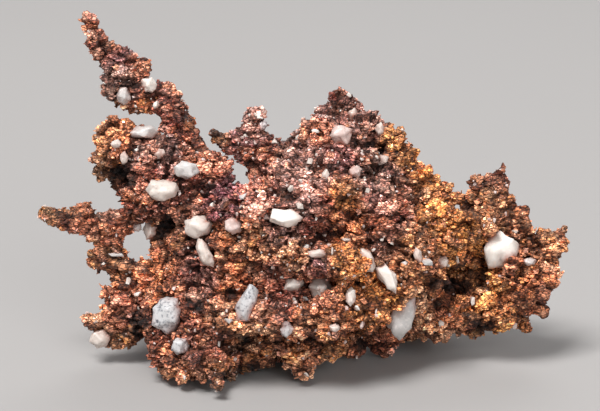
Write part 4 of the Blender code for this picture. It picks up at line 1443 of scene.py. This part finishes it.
GRAIN_KINDS = {
    Quartz.BRIGHT: (
        "right_lobe_large",
        "centre_bright",
        "tall_arm_white",
        "right_slanting_oval",
        "lower_shard",
        # These two grains lie in shade under a ledge and take the bright quartz to lighten them: painted
        # light.
        "centre_flat_grey",
        "centre_grey_white",
    ),
    Quartz.GREY: (
        "tall_arm_grey",
        "left_lobe_top",
        "left_lobe_tilted",
        "right_tall_slanting",
        "left_arm_twin_left",
        "right_lobe_side",
        "rear_left_wide",
        "rear_right_arm",
    ),
    Quartz.PINKISH: ("centre_left_small", "crown_curved", "upper_right_inner"),
    Quartz.SPECKLED: (
        "bulb_large",
        "bulb_low",
        "lower_speckled",
        "lower_middle_slanting",
        "middle_arm_speckled",
        "rear_low_middle",
    ),
}


def kind_of(node: str) -> Quartz:
    """The kind of quartz that a grain's node is made of: white unless the list says otherwise."""
    name = node.removeprefix("quartz_")
    return next((kind for kind, names in GRAIN_KINDS.items() if name in names), Quartz.WHITE)


@dataclass
class Grains:
    """All the quartz grains that have a node of their own."""

    core: Core

    def build(self) -> list[bpy.types.Object]:
        """Build every grain."""
        copper = BVHTree.FromPolygons(self.core.points.tolist(), self.core.faces.tolist())
        looks = {kind: QuartzFinish(kind).material() for kind in Quartz}
        made = []
        for node in sorted(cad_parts):
            if node.startswith("quartz_"):
                kind = kind_of(node)
                made.append(Grain(node, kind).build(looks[kind], copper))
        return made


@dataclass(frozen=True)
class Crumb:
    """A quartz crumb at a place of its own on the sheet: its width and height, in millimetres."""

    across: float
    up: float
    width: float
    height: float
    kind: Quartz = Quartz.WHITE


PLACED_CRUMBS = [
    Crumb(-17.2, 12.1, 1.2, 0.9),
    Crumb(-19.7, 11.9, 0.5, 0.4, Quartz.BRIGHT),
    Crumb(-19.2, 5.7, 1.0, 0.9, Quartz.PINKISH),
    Crumb(-10.5, 0.0, 0.9, 0.8),
    Crumb(-22.0, -5.9, 2.0, 0.7, Quartz.GREY),
    Crumb(-20.6, -9.2, 0.9, 1.2),
    Crumb(-19.5, -10.6, 1.3, 0.7),
    Crumb(-4.9, 10.7, 1.1, 0.9, Quartz.BRIGHT),
    Crumb(5.9, 13.2, 0.7, 0.7),
    Crumb(1.9, 8.9, 1.1, 0.6, Quartz.BRIGHT),
    Crumb(-0.4, 8.2, 1.0, 0.8),
    Crumb(1.2, 5.2, 1.1, 1.0),
    Crumb(-2.5, 5.4, 1.2, 1.0),
    Crumb(-3.0, 7.7, 1.0, 0.7),
    Crumb(8.1, 1.7, 0.9, 0.8),
    Crumb(-1.3, 2.1, 1.1, 0.9),
    Crumb(0.1, 2.9, 0.8, 0.6),
    Crumb(0.0, 0.0, 0.9, 1.3),
    Crumb(-5.8, 0.0, 1.5, 0.5),
    Crumb(-6.8, 1.1, 1.4, 0.9, Quartz.GREY),
    Crumb(-3.8, -1.3, 1.2, 1.0, Quartz.PINKISH),
    Crumb(5.6, -4.1, 1.1, 0.6),
    Crumb(3.8, -5.4, 0.4, 1.0),
    Crumb(0.6, -4.9, 1.0, 0.6, Quartz.GREY),
    Crumb(0.7, -11.2, 1.2, 0.6, Quartz.GREY),
    Crumb(-0.7, -11.3, 0.5, 1.1),
    Crumb(-2.1, -8.6, 0.9, 0.5),
    Crumb(12.7, -6.9, 1.3, 1.0, Quartz.GREY),
    Crumb(15.3, -6.8, 1.4, 1.2, Quartz.GREY),
    Crumb(18.9, -6.5, 0.6, 1.2),
    Crumb(6.9, -12.3, 0.9, 0.7, Quartz.BRIGHT),
    Crumb(9.1, -13.0, 0.5, 1.6),
    Crumb(7.5, -14.3, 0.8, 0.9, Quartz.PINKISH),
    Crumb(20.6, -11.4, 0.8, 1.2),
    Crumb(17.0, -14.2, 0.8, 0.9),
    Crumb(25.6, -14.4, 1.0, 0.9, Quartz.PINKISH),
    Crumb(-8.6, -13.8, 1.2, 1.0, Quartz.GREY),
    Crumb(-9.7, -16.5, 0.5, 2.0),
    Crumb(0.8, -20.3, 0.9, 0.6),
    Crumb(25.8, -3.1, 0.9, 0.7),
    Crumb(-13.6, -17.0, 0.7, 0.9, Quartz.BRIGHT),
    Crumb(-13.9, -20.6, 0.5, 0.9, Quartz.BRIGHT),
    Crumb(-13.2, -8.0, 0.5, 1.0, Quartz.PINKISH),
    Crumb(3.1, 3.2, 0.5, 1.3),
]


@dataclass
class Crumbs:
    """The quartz crumbs too small for a node of their own: placed ones, and fine ones sown by the zones."""

    ground: Ground
    count: int = 32000
    small: float = 0.18 * MM
    large: float = 0.66 * MM
    ragged: float = 1.12
    placed_sunk: float = 0.22
    sown_out: float = 0.15
    floor_gap: float = 0.6
    pink: float = 0.6
    stain_line: float = 0.25
    stain_most: float = 0.9

    def build(self) -> list[bpy.types.Object]:
        """Place and sow the crumbs and give back their pieces."""
        self.rng = np.random.default_rng(SEED + 1)
        self.dice = random.Random(SEED + 1)
        self.stock = CrystalShapes(variants=14).stock(Habit.CHIP)
        self.laid: dict[Quartz, list[tuple]] = {kind: [] for kind in Quartz}
        for crumb in PLACED_CRUMBS:
            self._place(crumb)
        self._sow()
        return [self._join(kind, crumbs) for kind, crumbs in self.laid.items() if crumbs]

    def _place(self, crumb: Crumb) -> None:
        """Lay one crumb on the copper, along the sight line of its place on the sheet."""
        aim = (SHEET.at(crumb.across, crumb.up) - SHEET.eye).normalized()
        spot = self.ground.tree.ray_cast(SHEET.eye, aim)[0]
        if spot is None:
            return
        thick = min(crumb.width, crumb.height)
        axes = np.column_stack((SHEET.across, SHEET.up, SHEET.back))
        size = np.array((crumb.width, crumb.height, thick)) * MM * self.ragged
        centre = spot - aim * (thick * self.placed_sunk * MM)
        self._lay(crumb.kind, centre, axes @ np.diag(size), -aim)

    def _sow(self) -> None:
        """Sow the fine crumbs by the zones' shares."""
        places, normals, _ = self.ground.sample(self.count, self.rng)
        drawn = SHEET.read(places)
        shares = TINTS.crumbs(drawn) * hollow_light(drawn) ** 2
        for place, normal, share in zip(places, normals, shares):
            if self.dice.random() > share:
                continue
            size = self.small + (self.large - self.small) * self.dice.random() ** 2.0
            spot, away = Vector(place), Vector(normal)
            centre = spot + away * (size * self.sown_out)
            if centre.z < size * self.floor_gap or not self.ground.clear_of_grains(spot, size):
                continue
            axis = Vector([self.dice.gauss(0, 1) for _ in range(3)]).normalized()
            turn = np.array(Matrix.Rotation(self.dice.uniform(0, math.tau), 3, axis))
            kind = Quartz.PINKISH if self.dice.random() < self.pink else Quartz.WHITE
            self._lay(kind, centre, turn * size, away)

    def _lay(self, kind: Quartz, centre: Vector, turn: np.ndarray, away: Vector) -> None:
        """Add one crumb: its corners, its triangles and how stained each corner is.

        Args:
            kind: Its kind of quartz.
            centre: Its place.
            turn: The matrix that turns and sizes it.
            away: Direction out of the copper there.
        """
        one = self.stock[self.dice.randrange(len(self.stock))]
        corners = one.corners @ turn.T
        height = corners @ np.array(away)
        stained = np.clip(self.stain_line - height / np.abs(height).max(), 0.0, 1.0) * self.stain_most
        self.laid[kind].append((corners + np.array(centre), one.triangles, stained))

    @staticmethod
    def _join(kind: Quartz, crumbs: list[tuple]) -> bpy.types.Object:
        """Join crumbs of one kind into a piece."""
        corners, triangles, _ = stacked(crumb[:2] for crumb in crumbs)
        name = kind.name.lower()
        piece = joined("quartz_crumbs_" + name, corners, triangles, bpy.data.materials["quartz_" + name])
        stain(piece.data, np.concatenate([stained for *_, stained in crumbs]))
        return piece


@dataclass(frozen=True)
class Lamp:
    """A square soft light: its place and side in metres, and its power in watts."""

    name: str
    place: Colour
    size: float
    power: float


LAMPS = [
    Lamp("key", (-0.50, -0.55, 1.45), 0.70, 37.0),
    Lamp("fill", (0.65, -1.30, 0.62), 1.0, 11.5),
    Lamp("rim", (0.30, 1.30, 1.10), 1.0, 9.0),
]


@dataclass
class Studio:
    """Pale floor, soft lights and the camera."""

    floor_size: float = 6.0
    floor_colour: Colour = (0.318, 0.304, 0.296)
    sky_colour: Colour = (0.95, 0.97, 1.0)
    sky_strength: float = 0.33
    aim_height: float = 18.0 * MM
    lens: float = 100.0
    sensor: float = 36.0

    def build(self) -> None:
        """Set the stage."""
        self._floor()
        self._world()
        for lamp in LAMPS:
            self._light(lamp)
        self._camera()
        bpy.context.scene.view_settings.view_transform = "Standard"

    def _floor(self) -> None:
        """A wide plain floor."""
        shape = bmesh.new()
        bmesh.ops.create_grid(shape, x_segments=1, y_segments=1, size=self.floor_size / 2)
        mesh = bpy.data.meshes.new("floor")
        shape.to_mesh(mesh)
        shape.free()
        graph = Graph("floor")
        shade = graph.ramp(graph.noise(3.0, 2.0, 0.5), [(0.3, 0.97), (0.7, 1.0)])
        colour = graph.mix(1.0, self.floor_colour, shade, "MULTIPLY")
        mesh.materials.append(graph.feed({"Base Color": colour, "Roughness": 0.85}))
        floor = bpy.data.objects.new("floor", mesh)
        bpy.context.scene.collection.objects.link(floor)

    def _world(self) -> None:
        """Even light from all round."""
        world = bpy.data.worlds.new("studio")
        world.use_nodes = True
        sky = world.node_tree.nodes["Background"].inputs
        sky["Color"].default_value = (*self.sky_colour, 1.0)
        sky["Strength"].default_value = self.sky_strength
        bpy.context.scene.world = world

    def _light(self, lamp: Lamp) -> None:
        """Hang a light and aim it at the nugget."""
        light = bpy.data.lights.new(lamp.name, "AREA")
        light.size = lamp.size
        light.energy = lamp.power
        holder = bpy.data.objects.new(lamp.name, light)
        holder.location = lamp.place
        aim = Vector((0.0, 0.0, self.aim_height)) - Vector(lamp.place)
        holder.rotation_euler = aim.to_track_quat("-Z", "Y").to_euler()
        bpy.context.scene.collection.objects.link(holder)

    def _camera(self) -> None:
        """The camera, at the eye of the lay-out sheet."""
        lens = bpy.data.cameras.new("camera")
        lens.lens = self.lens
        lens.sensor_width = self.sensor
        lens.clip_start = 0.01
        camera = bpy.data.objects.new("camera", lens)
        axes = Matrix((SHEET.across, SHEET.up, -SHEET.back)).transposed().to_4x4()
        camera.matrix_world = Matrix.Translation(SHEET.eye) @ axes
        bpy.context.scene.collection.objects.link(camera)
        bpy.context.scene.camera = camera


def main() -> None:
    """Build the nugget's looks in order."""
    logging.basicConfig(level=logging.INFO, format="%(message)s")
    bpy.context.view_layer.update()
    core = Core()
    for piece in core.build():
        log.info("%s: %d faces", piece.name, len(piece.data.polygons))
    grains = Grains(core).build()
    log.info("grains: %d", len(grains))
    ground = Ground(core, grains)
    for piece in Crust(ground).build() + Crumbs(ground).build():
        log.info("%s: %d triangles", piece.name, len(piece.data.polygons))
    Studio().build()


if __name__ == "__main__":
    main()
